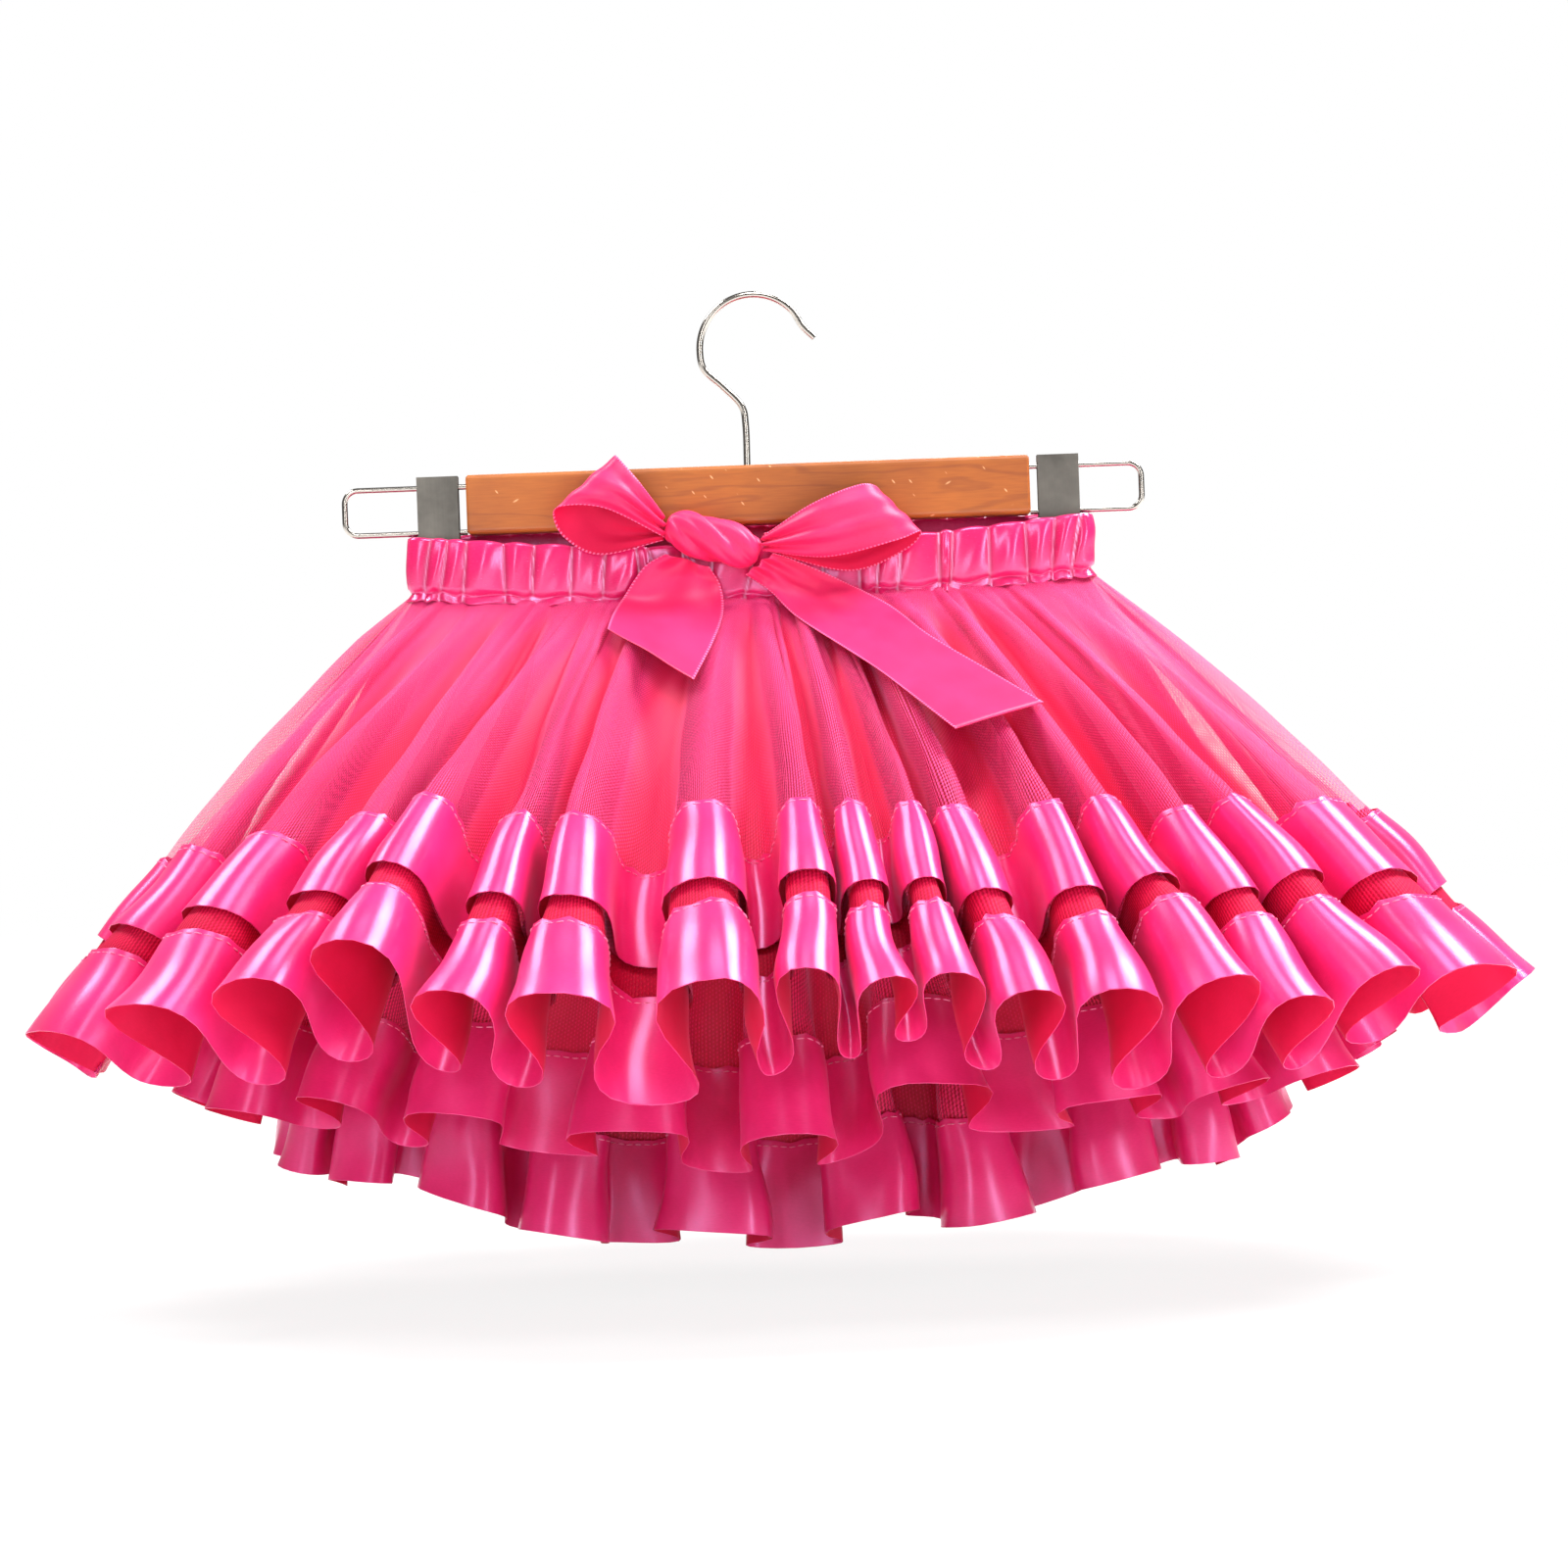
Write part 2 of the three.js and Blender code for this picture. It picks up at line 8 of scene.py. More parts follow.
import bpy
import numpy as np
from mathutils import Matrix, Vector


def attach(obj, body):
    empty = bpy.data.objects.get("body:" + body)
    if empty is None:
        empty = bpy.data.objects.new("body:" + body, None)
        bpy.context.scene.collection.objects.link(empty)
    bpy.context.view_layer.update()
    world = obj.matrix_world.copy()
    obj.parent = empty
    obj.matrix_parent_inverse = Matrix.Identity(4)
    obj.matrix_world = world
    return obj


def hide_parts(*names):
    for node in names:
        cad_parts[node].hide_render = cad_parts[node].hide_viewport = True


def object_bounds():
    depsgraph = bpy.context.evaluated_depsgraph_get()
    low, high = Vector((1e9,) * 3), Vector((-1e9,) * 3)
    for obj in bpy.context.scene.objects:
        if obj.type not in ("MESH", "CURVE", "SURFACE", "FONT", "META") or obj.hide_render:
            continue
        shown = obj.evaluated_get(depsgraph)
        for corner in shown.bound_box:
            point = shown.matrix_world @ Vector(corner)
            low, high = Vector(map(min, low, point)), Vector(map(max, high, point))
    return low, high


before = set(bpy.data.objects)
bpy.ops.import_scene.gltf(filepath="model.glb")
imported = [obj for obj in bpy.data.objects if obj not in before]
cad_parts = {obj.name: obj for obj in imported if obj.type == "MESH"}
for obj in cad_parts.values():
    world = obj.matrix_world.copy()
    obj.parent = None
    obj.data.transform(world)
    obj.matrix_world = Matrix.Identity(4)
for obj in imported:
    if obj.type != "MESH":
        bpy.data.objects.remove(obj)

cad_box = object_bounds()
MM = 0.001
random = np.random.default_rng(7)
print("model, in metres:", [[round(float(x), 3) for x in corner] for corner in cad_box])

# %% [markdown]
# ## Camera
#
# A product shot of a skirt this size is taken from about 1.5 m, so that near flutes look hardly
# larger than far ones. The hanger hangs a little askew, so the camera is rolled by that much rather
# than the model.

# %% Camera
VIEW_CENTRE = np.array([5.5, 0.0, -183.8]) * MM
CAMERA_DISTANCE = 1500 * MM
FRAME_WIDTH = 592 * MM
SENSOR_WIDTH = 36.0
HANGER_TILT = np.radians(2.1)

camera_data = bpy.data.cameras.new("camera")
camera_data.sensor_width = SENSOR_WIDTH
camera_data.lens = SENSOR_WIDTH * CAMERA_DISTANCE / FRAME_WIDTH
camera_data.clip_start = 50 * MM
camera = bpy.data.objects.new("camera", camera_data)
camera.location = VIEW_CENTRE - np.array([0.0, CAMERA_DISTANCE, 0.0])
camera.rotation_euler = (np.pi / 2, HANGER_TILT, 0.0)
bpy.context.scene.collection.objects.link(camera)
bpy.context.scene.camera = camera
bpy.context.scene.view_settings.view_transform = "Standard"
print("lens", round(camera_data.lens, 1), "mm")

# %% [markdown]
# ## Nodes and colours
#
# Every finish here is a tree of shader nodes. Writing each node's links out by hand takes three
# lines a node, so one small function adds a node with its settings and links. Colours are sRGB hex,
# as a paint chart gives them, and Blender's sockets hold linear light, so a function turns them.

# %% One function for nodes, and one for colours
WHITE = (1.0, 1.0, 1.0, 1.0)


def linear(hex_colour):
    """An sRGB hex colour as the linear RGBA that Blender's sockets hold."""
    channels = [int(hex_colour[i:i + 2], 16) / 255 for i in (1, 3, 5)]
    return tuple(c / 12.92 if c <= 0.04045 else ((c + 0.055) / 1.055) ** 2.4 for c in channels) + (1.0,)


def add(tree, kind, inputs=None, **settings):
    """Add a node. An input is fed by another node's socket, or set to a value."""
    made = tree.nodes.new("ShaderNode" + kind)
    for name, value in settings.items():
        setattr(made, name, value)
    for name, value in (inputs or {}).items():
        if isinstance(value, bpy.types.NodeSocket):
            tree.links.new(value, made.inputs[name])
        else:
            made.inputs[name].default_value = value
    return made


def new_material(name):
    material = bpy.data.materials.new(name)
    material.use_nodes = True
    material.node_tree.nodes.clear()
    return material, material.node_tree


print("pure red in linear light is", linear("#ff0000")[:3])

# %% [markdown]
# ## Floor and light
#
# The set is white all round. The world could light everything evenly, but then satin has nothing
# to mirror, so the world gives the fill and softboxes give the streaks. The floor is matt card that
# is lit until it is almost white. It could be a shadow catcher, but card also throws light back up
# into the hems.

# %% Floor of matt white card
FLOOR_GAP = 22 * MM
FLOOR_SIZE = 12.0          # metres: its edge is far outside the shot
OVERLIT = 0.84             # the share of the card's own shading that its strong light hides

white_card, tree = new_material("matt_white_card")
grain = add(tree, "TexNoise", {"Scale": 300.0})
tone = add(tree, "ValToRGB", {"Fac": grain.outputs["Fac"]})
tone.color_ramp.elements[0].color = linear("#f4f4f3")
tone.color_ramp.elements[1].color = linear("#ffffff")
coords = add(tree, "TexCoord")
away = add(tree, "VectorMath", {0: coords.outputs["Object"]}, operation="LENGTH")
glow = add(tree, "MapRange", {
    "Value": away.outputs["Value"],
    "From Min": 0.4,
    "From Max": 1.2,
    "To Min": 0.1,
    "To Max": 0.75,
})
card = add(tree, "BsdfPrincipled", {
    "Base Color": tone.outputs["Color"],
    "Roughness": 0.9,
    "Specular IOR Level": 0.1,
    "Emission Color": WHITE,
    "Emission Strength": glow.outputs["Result"],
})
# The set's own light leaves only a faint shadow on the card, as an overlit sweep does.
overlit = add(tree, "Emission", {"Color": WHITE, "Strength": 1.0})
seen = add(tree, "LightPath")
share = add(tree, "Math", {0: seen.outputs["Is Camera Ray"], 1: OVERLIT}, operation="MULTIPLY")
sweep = add(tree, "MixShader", {
    "Fac": share.outputs["Value"],
    1: card.outputs["BSDF"],
    2: overlit.outputs["Emission"],
})
add(tree, "OutputMaterial", {"Surface": sweep.outputs["Shader"]})

half = FLOOR_SIZE / 2
floor_mesh = bpy.data.meshes.new("floor")
corners = [(-half, -half, 0), (half, -half, 0), (half, half, 0), (-half, half, 0)]
floor_mesh.from_pydata(corners, [], [(0, 1, 2, 3)])
floor_mesh.materials.append(white_card)
floor = bpy.data.objects.new("floor", floor_mesh)
floor.location.z = cad_box[0][2] - FLOOR_GAP
bpy.context.scene.collection.objects.link(floor)
print("floor at", round(floor.location.z, 3), "m")

# %% World: a white backdrop and a soft fill
FILL = 0.24

world = bpy.data.worlds.new("white_studio")
world.use_nodes = True
tree = world.node_tree
tree.nodes.clear()
seen = add(tree, "LightPath")
fill = add(tree, "Background", {"Color": WHITE, "Strength": FILL})
backdrop = add(tree, "Background", {"Color": WHITE, "Strength": 1.0})
either = add(tree, "MixShader", {
    "Fac": seen.outputs["Is Camera Ray"],
    1: fill.outputs["Background"],
    2: backdrop.outputs["Background"],
})
add(tree, "OutputWorld", {"Surface": either.outputs["Shader"]})
bpy.context.scene.world = world
print("fill light is", FILL, "of white")

# %% Softboxes
def softbox(name, place, width, height, watts):
    """An area light that faces the middle of the skirt. Its place and sizes are in metres."""
    data = bpy.data.lights.new(name, "AREA")
    data.shape = "RECTANGLE"
    data.size = width
    data.size_y = height
    data.energy = watts
    light = bpy.data.objects.new(name, data)
    light.location = place
    aim = camera.location.copy()
    aim[:] = VIEW_CENTRE
    light.rotation_euler = (aim - light.location).to_track_quat("-Z", "Y").to_euler()
    bpy.context.scene.collection.objects.link(light)


# A flared ribbon faces upwards by 40 degrees, so what its crests mirror to the camera hangs
# overhead, and what their right and left sides mirror hangs high on the right and on the left.
softbox("right_overhead", (0.95, 0.1, 1.05), 0.5, 0.7, 40)
softbox("left_overhead", (-0.95, 0.15, 1.1), 0.4, 0.6, 20)
softbox("top_front", (0.1, -0.9, 1.35), 0.7, 0.5, 18)
softbox("front_softbox", (-0.5, -1.7, 0.35), 0.3, 0.7, 6)
softbox("right_strip", (1.1, -1.4, 0.2), 0.2, 0.8, 8)
softbox("rear_softbox", (0.3, 1.4, 0.9), 0.5, 0.45, 16)

# %% [markdown]
# ## The skirt's form
#
# Each layer is a wide strip, gathered into the waistband and longer at the hem than the skirt is
# round, so it stands out in flutes. A cloth simulation could make flutes, but not these ones: the
# skirt was arranged by hand. So each layer is a surface worked out from its own cut: how far it
# hangs from plumb at a distance along the cloth, and where each flute's crest comes at the hem.

# %% Sizes of the band and the layers
MIDDLE_X = -4 * MM
HEM_DRIFT = 4.7 * MM
BAND_HALF_WIDTH = 125.7 * MM
BAND_HALF_DEPTH = 6.2 * MM
BAND_TOP = -86.1 * MM
BAND_BOTTOM = -107.3 * MM
BAND_ROUNDNESS = 0.15
SEAM_ROUNDNESS = 0.35
HEM_ROUNDNESS = 0.85
RIBBON_WIDTH = 38 * MM
RIBBON_SPACING = 10 * MM
NET_TO_RIBBON = 0.7 * MM

# sign is 1 on the face that looks to -Y. The sags are how much lower the band's edges hang at its
# middle than at its ends.
FRONT = {"name": "front", "sign": 1, "sag_top": 8 * MM, "sag_bottom": 5.2 * MM}
# The back of the band's top isn't let down but pulled up, against the wooden bar.
BACK = {"name": "back", "sign": -1, "sag_top": -0.6 * MM, "sag_bottom": 2 * MM}


def section(along, front, side, back):
    """Degrees between the cloth and a plumb line, at a distance along the cloth from its seam."""
    return {"along": along * MM, "front": front, "side": side, "back": back}


# length runs along the cloth from seam to hem. half_width and half_depth give the seam's ring, and
# seam_drop how far it lies under the band. side_share shortens the cloth at the sides, and curl
# tucks a flute's sides in under its crest.
outer_layer = {
    "name": "outer",
    "length": 225 * MM,
    "half_width": 128.6 * MM,
    "half_depth": 9.0 * MM,
    "seam_drop": 0.9 * MM,
    "side_share": 0.97,
    "curl": 0.2,
    "sections": [
        section(0, 57, 47, 46),
        section(70, 53, 43, 42),
        section(139, 44, 38, 39),
        section(177, 38, 36, 37),
        section(187, 39, 36, 38),
        section(225, 43, 37, 40),
    ],
}
middle_layer = {
    "name": "middle",
    "length": 222 * MM,
    "half_width": 126.8 * MM,
    "half_depth": 7.2 * MM,
    "seam_drop": 1.6 * MM,
    "side_share": 0.928,
    "curl": 0.16,
    "sections": [
        section(0, 32, 29, 27),
        section(93, 29, 27, 25),
        section(184, 27, 26, 24),
        section(222, 26, 25, 24),
    ],
}
inner_layer = {
    "name": "inner",
    "length": 240 * MM,
    "half_width": 125.2 * MM,
    "half_depth": 5.5 * MM,
    "seam_drop": 1.9 * MM,
    "side_share": 0.9,
    "curl": 0.16,
    "sections": [
        section(0, 16, 17, 15),
        section(101, 13, 16, 13),
        section(202, 11, 15, 12),
        section(240, 10, 14, 12),
    ],
}
for layer in (outer_layer, middle_layer, inner_layer):
    print(layer["name"], "layer is", round(layer["length"] / MM), "mm long")

# %% The mean surface of a layer, before its flutes
def profile(layer, side, along):
    """How far the cloth has come out and down from its seam."""
    share = layer["side_share"] if side == "side" else 1.0
    out = np.zeros_like(along)
    down = np.zeros_like(along)
    for upper, lower in zip(layer["sections"], layer["sections"][1:]):
        span = lower["along"] - upper["along"]
        step = np.clip(along - upper["along"], 0.0, span)
        flare = np.radians(upper[side] + (lower[side] - upper[side]) * 0.5 * step / span)
        out += step * share * np.sin(flare)
        down += step * share * np.cos(flare)
    return out, down


def mean_point(layer, face, turn, along):
    """Points where turn goes from -90 to 90 degrees round one face of the skirt."""
    progress = along / layer["length"]
    side_out, side_down = profile(layer, "side", along)
    face_out, face_down = profile(layer, face["name"], along)
    roundness = SEAM_ROUNDNESS + (HEM_ROUNDNESS - SEAM_ROUNDNESS) * progress
    sine = np.sin(turn)
    cosine = np.maximum(np.cos(turn), 0.0)
    x = MIDDLE_X + HEM_DRIFT * progress + face["sign"] * (layer["half_width"] + side_out) * sine
    y = -face["sign"] * (layer["half_depth"] + face_out) * cosine ** roundness
    seam = BAND_BOTTOM - layer["seam_drop"] - face["sag_bottom"] * cosine ** 2
    z = seam - face_down - (side_down - face_down) * sine ** 2
    return np.stack([x, y, z], axis=-1)


def unit(vectors):
    return vectors / np.maximum(np.linalg.norm(vectors, axis=-1, keepdims=True), 1e-12)


NORMAL_TURN = 0.002        # radians to each side of a point, for the surface's slope there


def mean_normal(layer, face, turn, along):
    """Directions out of the mean surface. At a side seam the slope just beside it is taken."""
    limit = np.pi / 2 - 2 * NORMAL_TURN
    angle = np.clip(turn, -limit, limit)
    lower = np.minimum(along + 1 * MM, layer["length"])
    upper = np.maximum(along - 1 * MM, 0.0)
    right = mean_point(layer, face, angle + NORMAL_TURN, along)
    left = mean_point(layer, face, angle - NORMAL_TURN, along)
    downward = mean_point(layer, face, angle, lower) - mean_point(layer, face, angle, upper)
    return unit(np.cross(downward, right - left))


hem_out, _ = profile(outer_layer, "side", np.array([outer_layer["length"]]))
outer_half_width = outer_layer["half_width"] + hem_out[0]
print("the hem's mean line is", round(2 * outer_half_width, 3), "m wide")

# %% Where the flutes are
# across is a crest's place at the hem, rise is half the flute's depth there, and lean is how far
# the crest bows to the right half-way up, in degrees round the skirt. lift is how much higher or
# lower than its neighbours the flute lies at the hem, where hands have arranged the cloth.
OUTER_FRONT_FLUTES = [
    {"across": -269, "rise": 12, "lean": 0, "lift": 0},
    {"across": -245, "rise": 22, "lean": 1, "lift": 0},
    {"across": -206, "rise": 27, "lean": -2, "lift": 3},
    {"across": -170, "rise": 29, "lean": 2, "lift": 7},
    {"across": -136, "rise": 34, "lean": -1, "lift": 8},
    {"across": -104, "rise": 25, "lean": 1, "lift": 0},
    {"across": -75, "rise": 26, "lean": -1, "lift": -5},
    {"across": -15, "rise": 36, "lean": -2, "lift": -6},
    {"across": 14, "rise": 21, "lean": 1, "lift": 8},
    {"across": 35, "rise": 19, "lean": 0, "lift": 0},
    {"across": 57, "rise": 19, "lean": 1, "lift": -2},
    {"across": 82, "rise": 23, "lean": -1, "lift": -8},
    {"across": 111, "rise": 26, "lean": 2, "lift": -9},
    {"across": 146, "rise": 30, "lean": -2, "lift": -7},
    {"across": 173, "rise": 24, "lean": 1, "lift": -3},
    {"across": 200, "rise": 27, "lean": -2, "lift": -3},
    {"across": 232, "rise": 25, "lean": 1, "lift": -1},
    {"across": 270, "rise": 12, "lean": 0, "lift": 0},
]


def placed_flutes(rows, half_width):
    sines = [(row["across"] * MM - MIDDLE_X - HEM_DRIFT) / half_width for row in rows]
    return {
        "turn": np.arcsin(np.clip(sines, -1, 1)),
        "rise": np.array([row["rise"] for row in rows]) * MM,
        "lean": np.radians([row["lean"] for row in rows]),
        "lift": np.array([row["lift"] for row in rows]) * MM,
    }


UNEVEN_LIFT = 4 * MM       # how far above or below the mean hem an evenly spread flute may lie


def uneven_flutes(count, rise, seam_rise, start):
    """Evenly spread flutes, shifted and deepened unevenly, and shallower at the side seams."""
    i = np.arange(count + 1)
    room = np.sin(np.pi * i / count)
    shift = 0.2 * room * np.sin(2.3 * i + start)
    depth = rise * (0.6 + 0.4 * room) * (1 + 0.32 * np.sin(1.7 * i + 2 * start))
    depth[[0, -1]] = seam_rise
    return {
        "turn": np.radians(-90 + 180 * (i + shift) / count),
        "rise": depth * MM,
        "lean": np.radians(1.6 * room * np.sin(2.9 * i + start)),
        "lift": UNEVEN_LIFT * room * np.sin(2.1 * i + 3 * start),
    }


flutes = {
    ("outer", "front"): placed_flutes(OUTER_FRONT_FLUTES, outer_half_width),
    ("outer", "back"): uneven_flutes(15, 26, 12, 0.4),
    ("middle", "front"): uneven_flutes(12, 20, 6, 1.8),
    ("middle", "back"): uneven_flutes(11, 19, 6, 2.3),
    ("inner", "front"): uneven_flutes(11, 16, 7, 0.9),
    ("inner", "back"): uneven_flutes(10, 15, 7, 2.0),
}
print("flutes:", {" ".join(key): len(value["turn"]) - 1 for key, value in flutes.items()})

# %% [markdown]
# ## One surface for a layer and for what is sewn to it
#
# The net and its ribbons have to follow each other exactly. They could be wrapped on each other
# with a modifier, but it is surer to ask one function for the layer's points at any distances
# along the cloth, and to stand the ribbon off from them along the surface's own normals.

# %% Points of a fluted layer
STEPS_PER_FLUTE = 24
PLEATS = {"outer": 66, "middle": 56, "inner": 48}     # all round the waist


def fluted(layer, alongs):
    """A closed grid of points all round a layer, one row for each distance along the cloth."""
    faces = []
    for face in (FRONT, BACK):
        crests = flutes[layer["name"], face["name"]]
        count = len(crests["turn"]) - 1
        place = np.arange(count * STEPS_PER_FLUTE + 1) / STEPS_PER_FLUTE
        first = np.minimum(place.astype(int), count - 1)
        t = (place - first)[None, :]
        along = np.repeat(np.asarray(alongs)[:, None], len(place), axis=1)
        progress = along / layer["length"]
        bow = 4 * progress * (1 - progress)
        start = crests["turn"][first] + crests["lean"][first] * bow
        end = crests["turn"][first + 1] + crests["lean"][first + 1] * bow
        slide = t + layer["curl"] * progress ** 2 * np.sin(4 * np.pi * t)
        turn = start + (end - start) * slide
        rise = crests["rise"][first] + (crests["rise"][first + 1] - crests["rise"][first]) * t
        height = progress ** 1.15 * rise * np.cos(2 * np.pi * t)
        points = mean_point(layer, face, turn, along)
        points += mean_normal(layer, face, turn, along) * height[..., None]
        ease = t ** 2 * (3 - 2 * t)
        lift = crests["lift"][first] + (crests["lift"][first + 1] - crests["lift"][first]) * ease
        points[..., 2] += progress ** 2 * lift
        points[:, [0, -1], 1] = 0.0
        faces.append(points)
    return np.concatenate([faces[0][:, :-1], faces[1][:, :-1]], axis=1)


def grid_normals(points, closed=True):
    """Directions out of a grid, from the rows below and above and the columns on both sides."""
    down = np.gradient(points, axis=0)
    if closed:
        across = np.roll(points, -1, axis=1) - np.roll(points, 1, axis=1)
    else:
        across = np.gradient(points, axis=1)
    return unit(np.cross(down, across))


def pleat_height(layer, alongs, columns):
    """Soft pleats, round on top and sharp between, that fan out of the waist into the flutes."""
    s = (np.arange(columns) / columns)[None, :]
    along = np.asarray(alongs)[:, None] / MM
    count = PLEATS[layer["name"]]
    uneven = 2.3 * np.sin(2 * np.pi * 7 * s) + 1.0 * np.sin(2 * np.pi * 19 * s + 1.0)
    phase = np.pi * count * s + 0.5 * uneven + 0.006 * along * np.sin(2 * np.pi * 11 * s)
    main = 2 * np.abs(np.sin(phase)) ** 0.7 - 1.3
    wide = np.sin(2 * np.pi * round(count * 0.38) * s + 2.0 * np.sin(2 * np.pi * 5 * s))
    rise = np.clip(along / 26, 0, 1)
    fine = (0.3 + 1.7 * rise) * np.exp(-np.maximum(along - 45, 0) / 60)
    soft = 1.5 * rise * np.exp(-np.maximum(along - 70, 0) / 60)
    return (fine * main * (0.75 + 0.25 * np.sin(2 * np.pi * 13 * s)) + soft * wide) * MM


# Soft dents in the hanging cloth: turns round the skirt, turns down its length, depth and start.
DENTS = [
    {"round": 37, "down": 2.4, "depth": 0.9, "start": 0.4},
    {"round": 53, "down": -3.1, "depth": 0.7, "start": 2.1},
    {"round": 71, "down": 4.3, "depth": 0.45, "start": 4.0},
    {"round": 23, "down": 5.6, "depth": 0.6, "start": 1.2},
]
# Uneven lengths: how far the cloth's lower part is let down or drawn up, round the skirt.
LET_DOWN = [
    {"round": 5, "depth": 2.6, "start": 0.7},
    {"round": 11, "depth": 2.4, "start": 2.6},
    {"round": 17, "depth": 1.8, "start": 4.4},
]


def layer_surface(layer, alongs):
    """The layer's points with its pleats and dents, and the directions out of them."""
    points = fluted(layer, alongs)
    normals = grid_normals(points)
    s = (np.arange(points.shape[1]) / points.shape[1])[None, :]
    p = (np.asarray(alongs) / layer["length"])[:, None]
    dent = np.zeros(points.shape[:2])
    for d in DENTS:
        dent += d["depth"] * np.sin(2 * np.pi * (d["round"] * s + d["down"] * p) + d["start"])
    drop = sum(d["depth"] * np.sin(2 * np.pi * d["round"] * s + d["start"]) for d in LET_DOWN)
    height = pleat_height(layer, alongs, points.shape[1]) + dent * p ** 1.5 * MM
    points = points + normals * height[..., None]
    points[..., 2] -= drop * p ** 2 * MM
    return points, grid_normals(points)


def hollows(points, reach=14):
    """How many millimetres each point lies behind the mean of its neighbours round its row."""
    mean = sum(np.roll(points, k, axis=1) for k in range(-reach, reach + 1)) / (2 * reach + 1)
    return np.sum((mean - points) * grid_normals(mean), axis=-1) / MM


def arc_length(row):
    return float(np.linalg.norm(np.roll(row, -1, axis=0) - row, axis=1).sum())


for layer in (outer_layer, middle_layer, inner_layer):
    hem = layer_surface(layer, [layer["length"] - 1 * MM, layer["length"]])[0][-1]
    print(layer["name"], "hem runs", round(arc_length(hem), 3), "m round its flutes")

# %% [markdown]
# ## From points to a mesh
#
# Every cloth here is a grid: rows run down it and columns run across it. Such a grid could be made
# as a Blender surface, but a mesh takes UVs in metres of cloth, so that a weave is drawn at its real
# size, and it takes values of its own at each point, such as how tightly the cloth is gathered.

# %% A mesh from a grid of points
def grid_mesh(name, points, u, v, materials, closed=True, thickness=0.0, values=None):
    """Rows run down the cloth, columns to the right seen from outside. u and v are metres of cloth."""
    rows, columns = points.shape[:2]
    cells = columns if closed else columns - 1
    r, c = np.meshgrid(np.arange(rows - 1), np.arange(cells), indexing="ij")
    nxt = (c + 1) % columns
    corner = [r * columns + c, (r + 1) * columns + c, (r + 1) * columns + nxt, r * columns + nxt]
    quads = np.stack(corner, axis=-1).reshape(-1, 4)
    mesh = bpy.data.meshes.new(name)
    mesh.from_pydata(points.reshape(-1, 3).tolist(), [], quads.tolist())
    u = np.asarray(u, float)
    v = np.asarray(v, float)
    across = [u[c], u[c], u[c + 1], u[c + 1]]
    along = [v[r], v[r + 1], v[r + 1], v[r]]
    uv = np.stack([np.stack(across, -1), np.stack(along, -1)], axis=-1).reshape(-1, 2)
    mesh.uv_layers.new(name="cloth").data.foreach_set("uv", uv.ravel())
    for key, value in (values or {}).items():
        field = mesh.attributes.new(key, "FLOAT", "POINT")
        field.data.foreach_set("value", np.broadcast_to(value, (rows, columns)).astype(float).ravel())
    mesh.polygons.foreach_set("use_smooth", np.ones(len(quads), dtype=bool))
    for material in materials:
        mesh.materials.append(material)
    mesh.update()
    piece = bpy.data.objects.new(name, mesh)
    bpy.context.scene.collection.objects.link(piece)
    if thickness:
        solid = piece.modifiers.new("cloth_thickness", "SOLIDIFY")
        solid.thickness = thickness
        solid.offset = 0.0
        solid.material_offset = len(materials) - 1
        solid.material_offset_rim = 0
    return piece


def cloth_across(row):
    """The distance round a closed row, from its first point to each point and back to the first."""
    steps = np.linalg.norm(np.roll(row, -1, axis=0) - row, axis=1)
    return np.concatenate([[0.0], np.cumsum(steps)])


def cloth_down(points):
    """The mean distance down a grid, from its first row to each row."""
    steps = np.linalg.norm(np.diff(points, axis=0), axis=2).mean(axis=1)
    return np.concatenate([[0.0], np.cumsum(steps)])


waist = fluted(outer_layer, [0.0, 1 * MM])[0]
print("the outer layer's seam is", round(cloth_across(waist)[-1], 3), "m round")

# %% [markdown]
# ## Nylon tulle
#
# Tulle is warp-knitted nylon: fine ribs run down the cloth, and between them lie rows of small
# holes. It could be modelled thread by thread, but the outer layer has about a million. Here the
# cloth is a sheet whose Alpha is the knit itself, and where the layer is gathered there is more
# yarn in the same place, so it is denser: that is stored on the mesh as its fullness.

# %% Knitted nylon tulle
RIB_PITCH = 1.4 * MM       # nearer 0.9 mm on the real cloth, but that is too fine to show here
HOLE_PITCH = 1.6 * MM      # from one row of holes to the next, drawn coarser too


